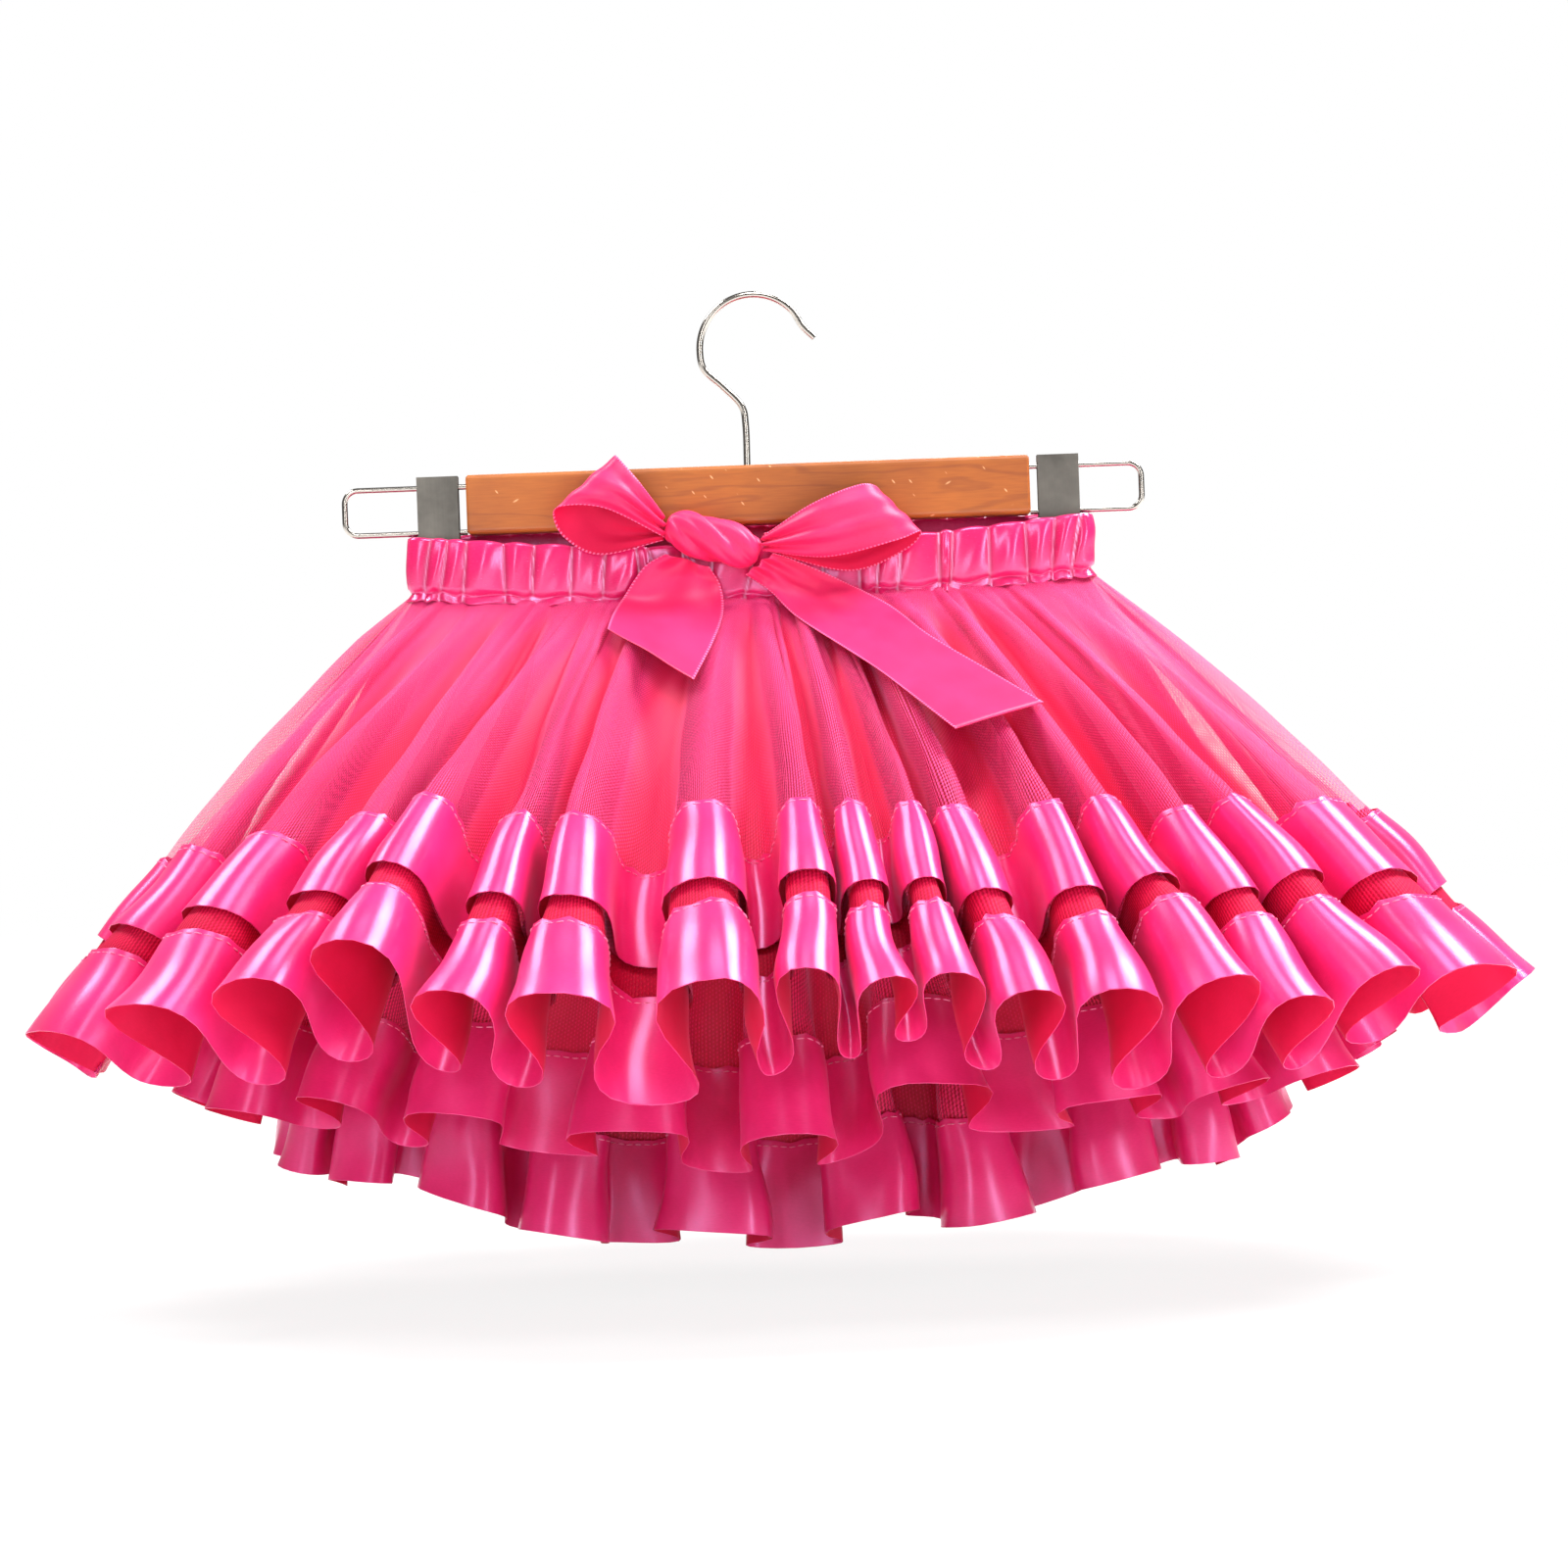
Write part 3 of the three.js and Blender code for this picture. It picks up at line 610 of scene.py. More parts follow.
def nylon_tulle(name, deep, light, yarn, gloss=0.5, nap=0.3):
    """yarn is the share of the surface that is yarn and not hole where the cloth isn't gathered."""
    material, tree = new_material(name)
    uv = add(tree, "UVMap", uv_map="cloth")
    place = add(tree, "SeparateXYZ", {"Vector": uv.outputs["UV"]})
    ribs = add(tree, "Math", {0: place.outputs["X"], 1: 2 * np.pi / RIB_PITCH}, operation="MULTIPLY")
    rib = add(tree, "Math", {0: ribs.outputs["Value"]}, operation="COSINE")
    rows = add(tree, "Math", {0: place.outputs["Y"], 1: 2 * np.pi / HOLE_PITCH}, operation="MULTIPLY")
    stagger = add(tree, "Math", {0: ribs.outputs["Value"], 1: 0.5, 2: rows.outputs["Value"]},
                  operation="MULTIPLY_ADD")
    row = add(tree, "Math", {0: stagger.outputs["Value"]}, operation="COSINE")
    knit = add(tree, "Math", {0: row.outputs["Value"], 1: 0.55, 2: rib.outputs["Value"]},
               operation="MULTIPLY_ADD")
    # Gathered or crowded into a valley between flutes, the net is denser. In a valley its colour is
    # deepened too, as painted shade.
    full = add(tree, "Attribute", attribute_name="fullness")
    base = add(tree, "Math", {0: full.outputs["Fac"], 1: 0.30, 2: yarn}, operation="MULTIPLY_ADD")
    deep_in = add(tree, "Attribute", attribute_name="hollow")
    doubled = add(tree, "Math", {0: deep_in.outputs["Fac"], 1: 0.75, 2: base.outputs["Value"]},
                  operation="MULTIPLY_ADD")
    cover = add(tree, "Math", {0: knit.outputs["Value"], 1: 0.26, 2: doubled.outputs["Value"]},
                operation="MULTIPLY_ADD", use_clamp=True)
    cloudy = add(tree, "TexNoise", {"Vector": uv.outputs["UV"], "Scale": 14.0, "Detail": 3.0})
    ribbed = add(tree, "Math", {0: knit.outputs["Value"], 1: 0.7, 2: cloudy.outputs["Fac"]},
                 operation="MULTIPLY_ADD")
    # Painted shade: the deeper a point lies in a valley, the nearer its colour goes to the deep end of the
    # ramp.
    tone = add(tree, "Math", {0: deep_in.outputs["Fac"], 1: -0.75, 2: ribbed.outputs["Value"]},
               operation="MULTIPLY_ADD", use_clamp=True)
    colour = add(tree, "ValToRGB", {"Fac": tone.outputs["Value"]})
    colour.color_ramp.elements[0].position = 0.25
    colour.color_ramp.elements[0].color = linear(deep)
    colour.color_ramp.elements[1].position = 0.8
    colour.color_ramp.elements[1].color = linear(light)
    bump = add(tree, "Bump", {"Height": knit.outputs["Value"], "Strength": 0.35, "Distance": 0.2 * MM})
    yarn_shader = add(tree, "BsdfPrincipled", {
        "Base Color": colour.outputs["Color"],
        "Roughness": 0.6,
        "IOR": 1.53,
        "Specular IOR Level": gloss,
        "Alpha": cover.outputs["Value"],
        "Normal": bump.outputs["Normal"],
        "Sheen Weight": nap,
        "Sheen Roughness": 0.4,
        "Sheen Tint": linear("#ffb4ec"),
    })
    add(tree, "OutputMaterial", {"Surface": yarn_shader.outputs["BSDF"]})
    return material


outer_tulle = nylon_tulle("knitted_nylon_tulle", "#da044a", "#f8368c", 0.34)
lining_tulle = nylon_tulle("dense_nylon_tulle", "#cc0440", "#ec2470", 0.78)
# Between two ribbons the net is doubled by its own folds. Its darker, duller colour there is painted shade.
shaded_folded_tulle = nylon_tulle("folded_nylon_tulle_painted_shade", "#b00230", "#d81448", 1.45, gloss=0.12, nap=0.04)
print("net of", RIB_PITCH / MM, "by", HOLE_PITCH / MM, "mm")

# %% The three net layers
NET_ROWS = 62
SEAM_ALLOWANCE = 7 * MM     # how far the net goes on under the hem ribbon's sewn edge
TUCK = 2 * MM               # how far the folded net goes on under the ribbons above and below it


def net_layer(layer, material, bare=None):
    """The net ends just under its hem ribbon's seam. bare is where it shows between two ribbons."""
    length = layer["length"] - RIBBON_WIDTH + SEAM_ALLOWANCE
    # Rows lie closer together near the waist, where the pleats start.
    alongs = length * np.linspace(0, 1, NET_ROWS) ** 1.15
    if bare:
        upper, lower = bare[0] - TUCK, bare[1] + TUCK
        alongs = np.sort(np.concatenate([alongs, [upper, lower]]))
    points, _ = layer_surface(layer, alongs)
    hem = arc_length(points[-1])
    full = [min(hem / arc_length(row) - 1, 3) for row in points]
    fullness = np.array(full)[:, None] / 3
    # How deep each point lies in a valley: it makes the net denser there and paints shade into its colour.
    hollow = np.clip(hollows(points) / 3.5, 0, 1)
    name = f"tulle_{layer['name']}"
    materials = [material, shaded_folded_tulle] if bare else [material]
    piece = grid_mesh(name, points, cloth_across(points[-1]), alongs, materials,
                      values={"fullness": fullness, "hollow": hollow})
    if bare:
        between = (alongs[:-1] + alongs[1:]) / 2
        # Faces between the two ribbons take the tulle with painted shade.
        folded = ((between > upper) & (between < lower)).astype(np.int32)
        piece.data.polygons.foreach_set("material_index", np.repeat(folded, points.shape[1]))
    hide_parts(f"{name}_front", f"{name}_back")
    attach(piece, "root")
    # The finest gathers aren't in the mesh, so the cut is stated as flared, narrower at the waist.
    print(name, "hem", round(hem, 3), "m, vertices", points.shape[0] * points.shape[1])


hem_ribbon_top = outer_layer["length"] - RIBBON_WIDTH
net_layer(outer_layer, outer_tulle, bare=(hem_ribbon_top - RIBBON_SPACING, hem_ribbon_top))
net_layer(middle_layer, lining_tulle)
net_layer(inner_layer, lining_tulle)

# %% [markdown]
# ## Polyester satin ribbon
#
# In satin most yarns float on the face, all in one direction, so the face mirrors light in streaks
# across the yarns and is dull on its back. Two materials do that: a glossy face with an anisotropic
# highlight, and a matt back whose deeper colour is painted shade. The floats run along the ribbon.

# %% Satin face and satin back
EDGE_LOOP = 1.3 * MM       # from one loop of the woven edge to the next, coarse enough to show
YARN_PITCH = 0.45 * MM     # about 0.15 mm on the real ribbon, drawn coarser so that it shows
SLUBS = (700.0, 2000.0, 1.0)        # to the metre: a thick place is about 1.4 mm by 0.5 mm


def woven_satin(name, deep, light, roughness, gloss, streak, edge=False, creased=False, shine="#e9c4ff"):
    """edge draws the ribbon's woven edges. creased paints shade into a gather's valleys and draws its
    creases pale.
    """
    material, tree = new_material(name)
    uv = add(tree, "UVMap", uv_map="cloth")
    place = add(tree, "SeparateXYZ", {"Vector": uv.outputs["UV"]})
    weft = add(tree, "Math", {0: place.outputs["Y"], 1: 2 * np.pi / YARN_PITCH}, operation="MULTIPLY")
    yarns = add(tree, "Math", {0: weft.outputs["Value"]}, operation="SINE")
    stretch = add(tree, "Mapping", {"Vector": uv.outputs["UV"], "Scale": SLUBS})
    slub = add(tree, "TexNoise", {"Vector": stretch.outputs["Vector"], "Scale": 1.0, "Detail": 2.0})
    cloudy = add(tree, "TexNoise", {"Vector": uv.outputs["UV"], "Scale": 35.0, "Detail": 3.0})
    blend = add(tree, "Math", {0: slub.outputs["Fac"], 1: 0.35, 2: cloudy.outputs["Fac"]},
                operation="MULTIPLY_ADD")
    colour = add(tree, "ValToRGB", {"Fac": blend.outputs["Value"]})
    colour.color_ramp.elements[0].position = 0.4
    colour.color_ramp.elements[0].color = linear(deep)
    colour.color_ramp.elements[1].position = 0.95
    colour.color_ramp.elements[1].color = linear(light)
    face = colour.outputs["Color"]
    if edge:
        # Small loops of weft stand along the woven edge and look paler than the cloth.
        off = add(tree, "Math", {0: place.outputs["Y"], 1: RIBBON_WIDTH / 2}, operation="SUBTRACT")
        far = add(tree, "Math", {0: off.outputs["Value"]}, operation="ABSOLUTE")
        rim = add(tree, "MapRange", {
            "Value": far.outputs["Value"],
            "From Min": RIBBON_WIDTH / 2 - 1.0 * MM,
            "From Max": RIBBON_WIDTH / 2 - 0.6 * MM,
        })
        loops = add(tree, "Math", {0: place.outputs["X"], 1: 2 * np.pi / EDGE_LOOP},
                    operation="MULTIPLY")
        loop = add(tree, "Math", {0: loops.outputs["Value"]}, operation="SINE")
        bead = add(tree, "MapRange", {"Value": loop.outputs["Value"], "From Min": -0.4, "From Max": 0.6})
        beads = add(tree, "Math", {0: rim.outputs["Result"], 1: bead.outputs["Result"]},
                    operation="MULTIPLY")
        pale = add(tree, "Math", {0: beads.outputs["Value"], 1: 0.6}, operation="MULTIPLY")
        edged = add(tree, "Mix", {"Factor": pale.outputs["Value"], 6: face, 7: linear("#ff8cc4")},
                    data_type="RGBA")
        face = edged.outputs[2]
    if creased:
        # Painted shade: little light gets between two puffs, so their valleys are drawn darker. Each crease
        # is drawn with a pale line.
        valley = add(tree, "Attribute", attribute_name="valley")
        dark = add(tree, "Math", {0: valley.outputs["Fac"], 1: 0.65}, operation="MULTIPLY")
        shaded = add(tree, "Mix", {"Factor": dark.outputs["Value"], 6: face, 7: linear("#a00638")},
                     data_type="RGBA")
        crease = add(tree, "Attribute", attribute_name="crease")
        pale_crease_share = add(tree, "Math", {0: crease.outputs["Fac"], 1: 0.8}, operation="MULTIPLY")
        pale_crease_mix = add(tree, "Mix", {"Factor": pale_crease_share.outputs["Value"], 6: shaded.outputs[2],
                                 7: linear("#ffc4ee")}, data_type="RGBA")
        face = pale_crease_mix.outputs[2]
    rough = add(tree, "Math", {0: slub.outputs["Fac"], 1: 0.16, 2: roughness - 0.08},
                operation="MULTIPLY_ADD")
    relief = add(tree, "Math", {0: yarns.outputs["Value"], 1: 0.3, 2: slub.outputs["Fac"]},
                 operation="MULTIPLY_ADD")
    bump = add(tree, "Bump", {"Height": relief.outputs["Value"], "Strength": 0.3, "Distance": 0.06 * MM})
    tangent = add(tree, "Tangent", direction_type="UV_MAP", uv_map="cloth")
    shader = add(tree, "BsdfPrincipled", {
        "Base Color": face,
        "Roughness": rough.outputs["Value"],
        "IOR": 1.57,
        "Specular IOR Level": gloss,
        "Specular Tint": linear(shine),
        "Anisotropic": streak,
        "Anisotropic Rotation": 0.25,
        "Tangent": tangent.outputs["Tangent"],
        "Normal": bump.outputs["Normal"],
        "Sheen Weight": 0.15,
        "Sheen Roughness": 0.35,
        "Sheen Tint": linear("#ffb4e0"),
    })
    add(tree, "OutputMaterial", {"Surface": shader.outputs["BSDF"]})
    return material


satin_face = woven_satin("polyester_satin_face", "#d21058", "#ee2c78", 0.34, 1.0, 0.6)
# The back is matt, as satin's back is, and its deeper colour is painted shade: it shows inside the flutes.
satin_back_painted_shade = woven_satin("polyester_satin_back_painted_shade", "#c80434", "#e2164a", 0.6, 0.25, 0.2)
print("satin with yarns", YARN_PITCH / MM, "mm apart")

# %% [markdown]
# ## Ribbons and their stitches
#
# Each ribbon is sewn along its top edge only. The thread draws that edge into small puckers, and
# the lower edge swings free. The stitches could be painted on, but their shadows are what shows
# that the ribbon is sewn, so each one is a small bead of thread that lies on the satin.

# %% Sewing thread
RIBBON_THICKNESS = 0.22 * MM
STITCH_PITCH = 3.4 * MM
STITCH_LENGTH = 2.5 * MM
THREAD = 0.28 * MM         # from a stitch's middle line out to its corners
SEAM_IN = 1.9 * MM         # from the ribbon's sewn edge to its stitches


def sewing_thread():
    """Twisted polyester thread, paler than the ribbon because its twist scatters light."""
    material, tree = new_material("twisted_polyester_thread")
    coords = add(tree, "TexCoord")
    twist = add(tree, "TexNoise", {"Vector": coords.outputs["Object"], "Scale": 1400.0})
    colour = add(tree, "ValToRGB", {"Fac": twist.outputs["Fac"]})
    colour.color_ramp.elements[0].color = linear("#ee4488")
    colour.color_ramp.elements[1].color = linear("#ff9cc8")
    shader = add(tree, "BsdfPrincipled", {
        "Base Color": colour.outputs["Color"],
        "Roughness": 0.5,
        "IOR": 1.55,
        "Sheen Weight": 0.3,
    })
    add(tree, "OutputMaterial", {"Surface": shader.outputs["BSDF"]})
    return material


thread = sewing_thread()
print("stitches are", STITCH_LENGTH / MM, "mm long")

# %% A row of stitches
def stitches(name, points, normals, u, v):
    """A row of short stitches that lie on a ribbon, a little below its sewn edge."""
    row = int(np.searchsorted(v, SEAM_IN))
    share = (SEAM_IN - v[row - 1]) / (v[row] - v[row - 1])
    line = points[row - 1] + (points[row] - points[row - 1]) * share
    line = np.concatenate([line, line[:1]])
    out = np.concatenate([normals[row], normals[row, :1]])
    count = int(u[-1] / STITCH_PITCH)
    start = (np.arange(count) + 0.5) * u[-1] / count
    corners, faces = [], []
    sides = np.radians([90, 210, 330])
    for step, (reach, rise) in enumerate(((-0.5, 0.1), (-0.2, 0.9), (0.2, 0.9), (0.5, 0.1))):
        at = start + reach * STITCH_LENGTH
        centre = np.stack([np.interp(at, u, line[:, i]) for i in range(3)], axis=-1)
        up = unit(np.stack([np.interp(at, u, out[:, i]) for i in range(3)], axis=-1))
        ahead = np.stack([np.interp(at + MM, u, line[:, i]) for i in range(3)], axis=-1) - centre
        side = unit(np.cross(ahead, up))
        centre = centre + up * (RIBBON_THICKNESS / 2 + rise * THREAD * 0.6)
        size = THREAD * (0.5 if step in (0, 3) else 1.0)
        ring = [centre + (side * np.cos(a) + up * np.sin(a)) * size for a in sides]
        corners.append(np.stack(ring, axis=1))
    beads = np.stack(corners, axis=1)
    steps, corners_each = beads.shape[1:3]
    for k in range(count):
        first = k * steps * corners_each
        for i in range(steps - 1):
            for j in range(corners_each):
                a = first + i * corners_each + j
                b = first + i * corners_each + (j + 1) % corners_each
                faces.append((a, b, b + corners_each, a + corners_each))
        faces.append((first + 2, first + 1, first))
        last = first + (steps - 1) * corners_each
        faces.append((last, last + 1, last + 2))
    mesh = bpy.data.meshes.new(name)
    mesh.from_pydata(beads.reshape(-1, 3).tolist(), [], faces)
    mesh.polygons.foreach_set("use_smooth", np.ones(len(faces), dtype=bool))
    mesh.materials.append(thread)
    piece = bpy.data.objects.new(name, mesh)
    bpy.context.scene.collection.objects.link(piece)
    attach(piece, "root")
    print(name, count, "stitches")
    return piece


# %% Ribbons sewn to the layers
PUCKER_PITCH = 4.2 * MM
RIBBON_ROWS = 15
EDGE_ROW = 0.3 * MM        # from an edge to the row that keeps the face's shading off it


def sewn_ribbon(layer, name, top, seed):
    """A ribbon sewn to a layer along its top edge, with its lower edge free."""
    alongs = top + RIBBON_WIDTH * np.linspace(0, 1, RIBBON_ROWS) ** 1.25
    # A row close to each edge keeps the smooth shading of the face away from the thin edge.
    alongs = np.insert(alongs, [1, RIBBON_ROWS - 1], [top + EDGE_ROW, top + RIBBON_WIDTH - EDGE_ROW])
    points, normals = layer_surface(layer, np.minimum(alongs, layer["length"]))
    u = cloth_across(points[0])
    down = (alongs - top)[:, None] / MM
    phase = 2 * np.pi * u[None, :-1] / PUCKER_PITCH
    ripple = np.sin(phase + 1.3 * np.sin(phase / 7.3 + seed)) * np.exp(-down / 4.0)
    free = 1 - np.exp(-down / 14)
    wave = 0.5 + 0.5 * np.sin(phase / 9.1 + 2.2 * np.sin(phase / 31 + seed))
    lift = 0.65 + 0.6 * ripple + free * (0.7 + 1.1 * wave)
    points = points + normals * (NET_TO_RIBBON + lift[..., None] * MM)
    shrug = 0.8 * MM * np.sin(phase * 0.62 + 1.8 * np.sin(phase / 5.7) + seed) * np.exp(-down / 3.0)
    slope = unit(np.gradient(points, axis=0))
    points = points + slope * shrug[..., None]
    piece = grid_mesh(f"ribbon_{name}", points, u, alongs - top, [satin_face, satin_back_painted_shade],
                      thickness=RIBBON_THICKNESS)
    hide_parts(f"ribbon_{name}_front", f"ribbon_{name}_back")
    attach(piece, "root")
    seam = stitches(f"stitches_{name}", points, normals, u, alongs - top)
    print(piece.name, "is", round(u[-1], 3), "m of ribbon")


upper_ribbon_top = hem_ribbon_top - RIBBON_SPACING - RIBBON_WIDTH
sewn_ribbon(outer_layer, "upper", upper_ribbon_top, 0.4)
sewn_ribbon(outer_layer, "hem", hem_ribbon_top, 1.9)
sewn_ribbon(middle_layer, "middle", middle_layer["length"] - RIBBON_WIDTH, 3.1)
sewn_ribbon(inner_layer, "inner", inner_layer["length"] - RIBBON_WIDTH, 5.2)

# %% [markdown]
# ## The waistband
#
# A satin strip is folded over an elastic and sewn, so it gathers into short upright puffs with
# sharp creases between them, and its lower edge stands out in a small frill under the seam.
# Cloth brushes could crease it, but the puffs are so regular that a formula is clearer: each
# gather has its own width, its own fullness and its own slant.

# %% The band's line and its rows
BAND_GATHERS = 50
BAND_COLUMNS = 900
FRILL = 2.6 * MM           # how far the frill hangs under the seam
SCALLOP = 0.8 * MM         # how far a puff's edges swell past its creases
GATHER_LEAN = 0.012        # of the way round, that a gather with a slant of 1 leans from top to bottom


def waist_line(columns):
    """Evenly spaced points round the inside of the band, from the front's middle to the left."""
    turn = np.linspace(0, 2 * np.pi, 20001)
    depth = -np.sign(np.cos(turn)) * np.abs(np.cos(turn)) ** BAND_ROUNDNESS
    line = np.stack([MIDDLE_X + BAND_HALF_WIDTH * np.sin(turn), BAND_HALF_DEPTH * depth], axis=-1)
    length = np.concatenate([[0], np.cumsum(np.linalg.norm(np.diff(line, axis=0), axis=1))])
    even = np.linspace(0, length[-1], columns + 1)[:-1]
    return np.stack([np.interp(even, length, line[:, i]) for i in (0, 1)], axis=-1)


# Rows of the folded strip, from its inner edge up over the top and down the outer face.
# height is a share of the band from its top, offset is millimetres out of the inner face.
band_rows = [{"height": h, "offset": 0.3, "puff": 0.0} for h in (0.97, 0.75, 0.5, 0.25, 0.06)]
band_rows += [{"height": h, "offset": o, "puff": p}
              for h, o, p in ((0.01, 0.8, 0.12), (0.0, 1.6, 0.3), (0.02, 2.3, 0.5))]
band_rows += [{"height": h, "offset": 2.5, "puff": 0.5 + 0.5 * np.sin(np.pi * (h - 0.05) / 0.9) ** 0.8}
              for h in np.linspace(0.06, 0.9, 14)]
band_rows += [{"height": h, "offset": o, "puff": p}
              for h, o, p in ((0.94, 2.0, 0.36), (0.975, 1.7, 0.25), (1.0, 1.9, 0.4))]
print(len(band_rows), "rows from the band's inner edge to its seam")

# %% Waistband
def waistband():
    ring = waist_line(BAND_COLUMNS)
    s = np.arange(BAND_COLUMNS) / BAND_COLUMNS
    widths = random.uniform(0.45, 1.6, BAND_GATHERS)
    edges = np.concatenate([[0], np.cumsum(widths)]) / widths.sum()
    fullness = random.uniform(0.9, 2.5, BAND_GATHERS)
    slant = random.uniform(-0.9, 0.9, BAND_GATHERS)
    pale = random.uniform(0.1, 1.0, BAND_GATHERS)
    reach = np.clip((ring[:, 0] - MIDDLE_X) / BAND_HALF_WIDTH, -1, 1)
    # At the ends the band lies just under the wire loops, so its top is level there.
    room = 1 - np.abs(reach) ** 8
    scallop = SCALLOP * room
    front = ring[:, 1] < 0
    top = BAND_TOP - np.where(front, FRONT["sag_top"] * (1 - reach ** 2), BACK["sag_top"] * room)
    bottom = BAND_BOTTOM - np.where(front, FRONT["sag_bottom"], BACK["sag_bottom"]) * (1 - reach ** 2)
    flat = np.stack([ring[:, 0], ring[:, 1], np.zeros(BAND_COLUMNS)], axis=-1)
    ahead = np.roll(flat, -1, axis=0) - np.roll(flat, 1, axis=0)
    outward = unit(np.cross(np.array([0.0, 0.0, -1.0]), ahead))
    points, creases, valleys = [], [], []
    rows = list(band_rows)
    for depth in (0.4, 0.75, 1.0):
        rows.append({"height": 1.0, "offset": 1.9 + 1.5 * depth, "puff": 0.4 + 0.35 * depth, "drop": depth})
    middles = (edges[:-1] + edges[1:]) / 2
    for row in rows:
        lean = np.interp(s, middles, slant) * (row["height"] - 0.5) * GATHER_LEAN
        shifted = (s + lean) % 1.0
        which = np.clip(np.searchsorted(edges, shifted, side="right") - 1, 0, BAND_GATHERS - 1)
        t = (shifted - edges[which]) / (edges[which + 1] - edges[which])
        puff = np.sin(np.pi * t) ** 0.7
        second = 0.24 * np.sin(2 * np.pi * t + which + 4 * row["height"]) * np.sin(np.pi * t)
        offset = row["offset"] + row["puff"] * fullness[which] * (puff + second)
        z = top + (bottom - top) * row["height"] - row.get("drop", 0.0) * FRILL
        z = z + scallop * np.sin(np.pi * t) * (1 - 2 * row["height"])
        z = z + 0.5 * MM * np.sin(3 * which + 6 * t) * (row["height"] > 0.9)
        point = flat + outward * (offset * MM)[:, None]
        point[:, 2] = z
        points.append(point)
        near = np.minimum(t, 1 - t) * (edges[which + 1] - edges[which]) * BAND_GATHERS
        # How far into the valley between two puffs a point lies: the satin paints shade there.
        valleys.append(np.exp(-(near / 0.13) ** 2) * min(1.0, row["puff"] * 1.5))
        creases.append(pale[which] * np.exp(-(near / 0.036) ** 2) * min(1.0, row["puff"] * 1.5))
    points = np.array(points)
    u = cloth_across(points[len(points) // 2])
    v = cloth_down(points)
    values = {"crease": np.array(creases), "valley": np.array(valleys)}
    piece = grid_mesh("gathered_waistband", points, u, v, [band_satin], thickness=0.3 * MM, values=values)
    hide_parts("waistband")
    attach(piece, "root")
    print("waistband is", round(u[-1], 3), "m round its gathers,", round(v[-1] / MM, 1), "mm wide")


band_satin = woven_satin("gathered_polyester_satin", "#c80c50", "#e4246c", 0.24, 1.0, 0.3, creased=True)
waistband()

# %% [markdown]
# ## The bow
#
# The bow is one length of ribbon: two loops, a knot wrapped tight over them, and two tails that
# lie on the skirt. Each run is a strip through a few cross-sections, like a loft. The ribbon
# crushes into folds where the knot grips it, so the folds are deepest there and fade outwards.

# %% Strips through cross-sections
def catmull_rom(values, steps):
    """A smooth run through rows of values, with steps + 1 rows."""
    values = np.asarray(values, float)
    padded = np.concatenate([[2 * values[0] - values[1]], values, [2 * values[-1] - values[-2]]])
    where = np.linspace(0, len(values) - 1, steps + 1)
    i = np.minimum(where.astype(int), len(values) - 2)
    t = (where - i).reshape((-1,) + (1,) * (values.ndim - 1))
    a, b, c, d = (padded[i + k] for k in range(4))
    square = 2 * a - 5 * b + 4 * c - d
    cube = 3 * b - a - 3 * c + d
    return 0.5 * (2 * b + (c - a) * t + square * t ** 2 + cube * t ** 3)


STRIP_STEPS = 72
STRIP_COLUMNS = 21
BOW_THICKNESS = 0.25 * MM
EDGE_SHARE = EDGE_ROW / RIBBON_WIDTH


def bow_strip(name, edges, folds, fold_rows, reach=0.16, waves=2.6):
    """edges is rows of (left, middle, right) points. folds is the depth of the folds at fold_rows,
    where the knot grips, reach how far they run out, and waves how many lie across the ribbon."""
    run = catmull_rom(edges, STRIP_STEPS)
    share = np.linspace(0, 1, STRIP_COLUMNS)
    share[[1, -2]] = [EDGE_SHARE, 1 - EDGE_SHARE]
    q = share[None, :, None]
    left, middle, right = run[:, None, 0], run[:, None, 1], run[:, None, 2]
    points = left * (1 - q) * (1 - 2 * q) + middle * 4 * q * (1 - q) + right * q * (2 * q - 1)
    p = np.linspace(0, 1, STRIP_STEPS + 1)[:, None]
    grip = sum(np.exp(-np.abs(p - root) / reach) for root in fold_rows)
    across = share[None, :]
    fold = np.sin(2 * np.pi * (waves * across + 0.5 * p) + 0.7) * grip * np.sin(np.pi * across) ** 0.5
    soft = 0.25 * np.sin(2 * np.pi * (0.8 * across + 1.7 * p) + 1.1)
    normals = grid_normals(points, closed=False)
    points = points + normals * ((folds * fold + 0.6 * soft) * MM)[..., None]
    v = cloth_down(points)
    # The yarns float along the ribbon, so the ribbon's length is the cloth's first direction.
    turned = np.ascontiguousarray(points.transpose(1, 0, 2))
    piece = grid_mesh(name + "_ribbon", turned[::-1], v, share * RIBBON_WIDTH,
                      [bow_satin, bow_back_painted_shade], closed=False, thickness=BOW_THICKNESS)
    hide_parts(name)
    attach(piece, "root")
    return piece, float(v[-1])


bow_satin = woven_satin("polyester_satin_bow", "#de1452", "#ee2e6c", 0.46, 0.5, 0.4, edge=True,
                        shine="#ffc4dc")
# The bow's back is matt, and its deeper colour is painted shade for the insides of the loops.
bow_back_painted_shade = woven_satin("polyester_satin_bow_back_painted_shade", "#c00434", "#d41044", 0.65, 0.3, 0.2, edge=True)
print("each run of the bow has", STRIP_STEPS * (STRIP_COLUMNS - 1), "faces on a side")

# %% Loops
def loop_row(upper, lower, depth, belly):
    """One section of a loop: the ribbon's two edges from the front, its depth and its bulge."""
    top = np.array([upper[0], -depth, upper[1]])
    low = np.array([lower[0], -depth, lower[1]])
    return [top * MM, ((top + low) / 2 - [0, belly, 0]) * MM, low * MM]


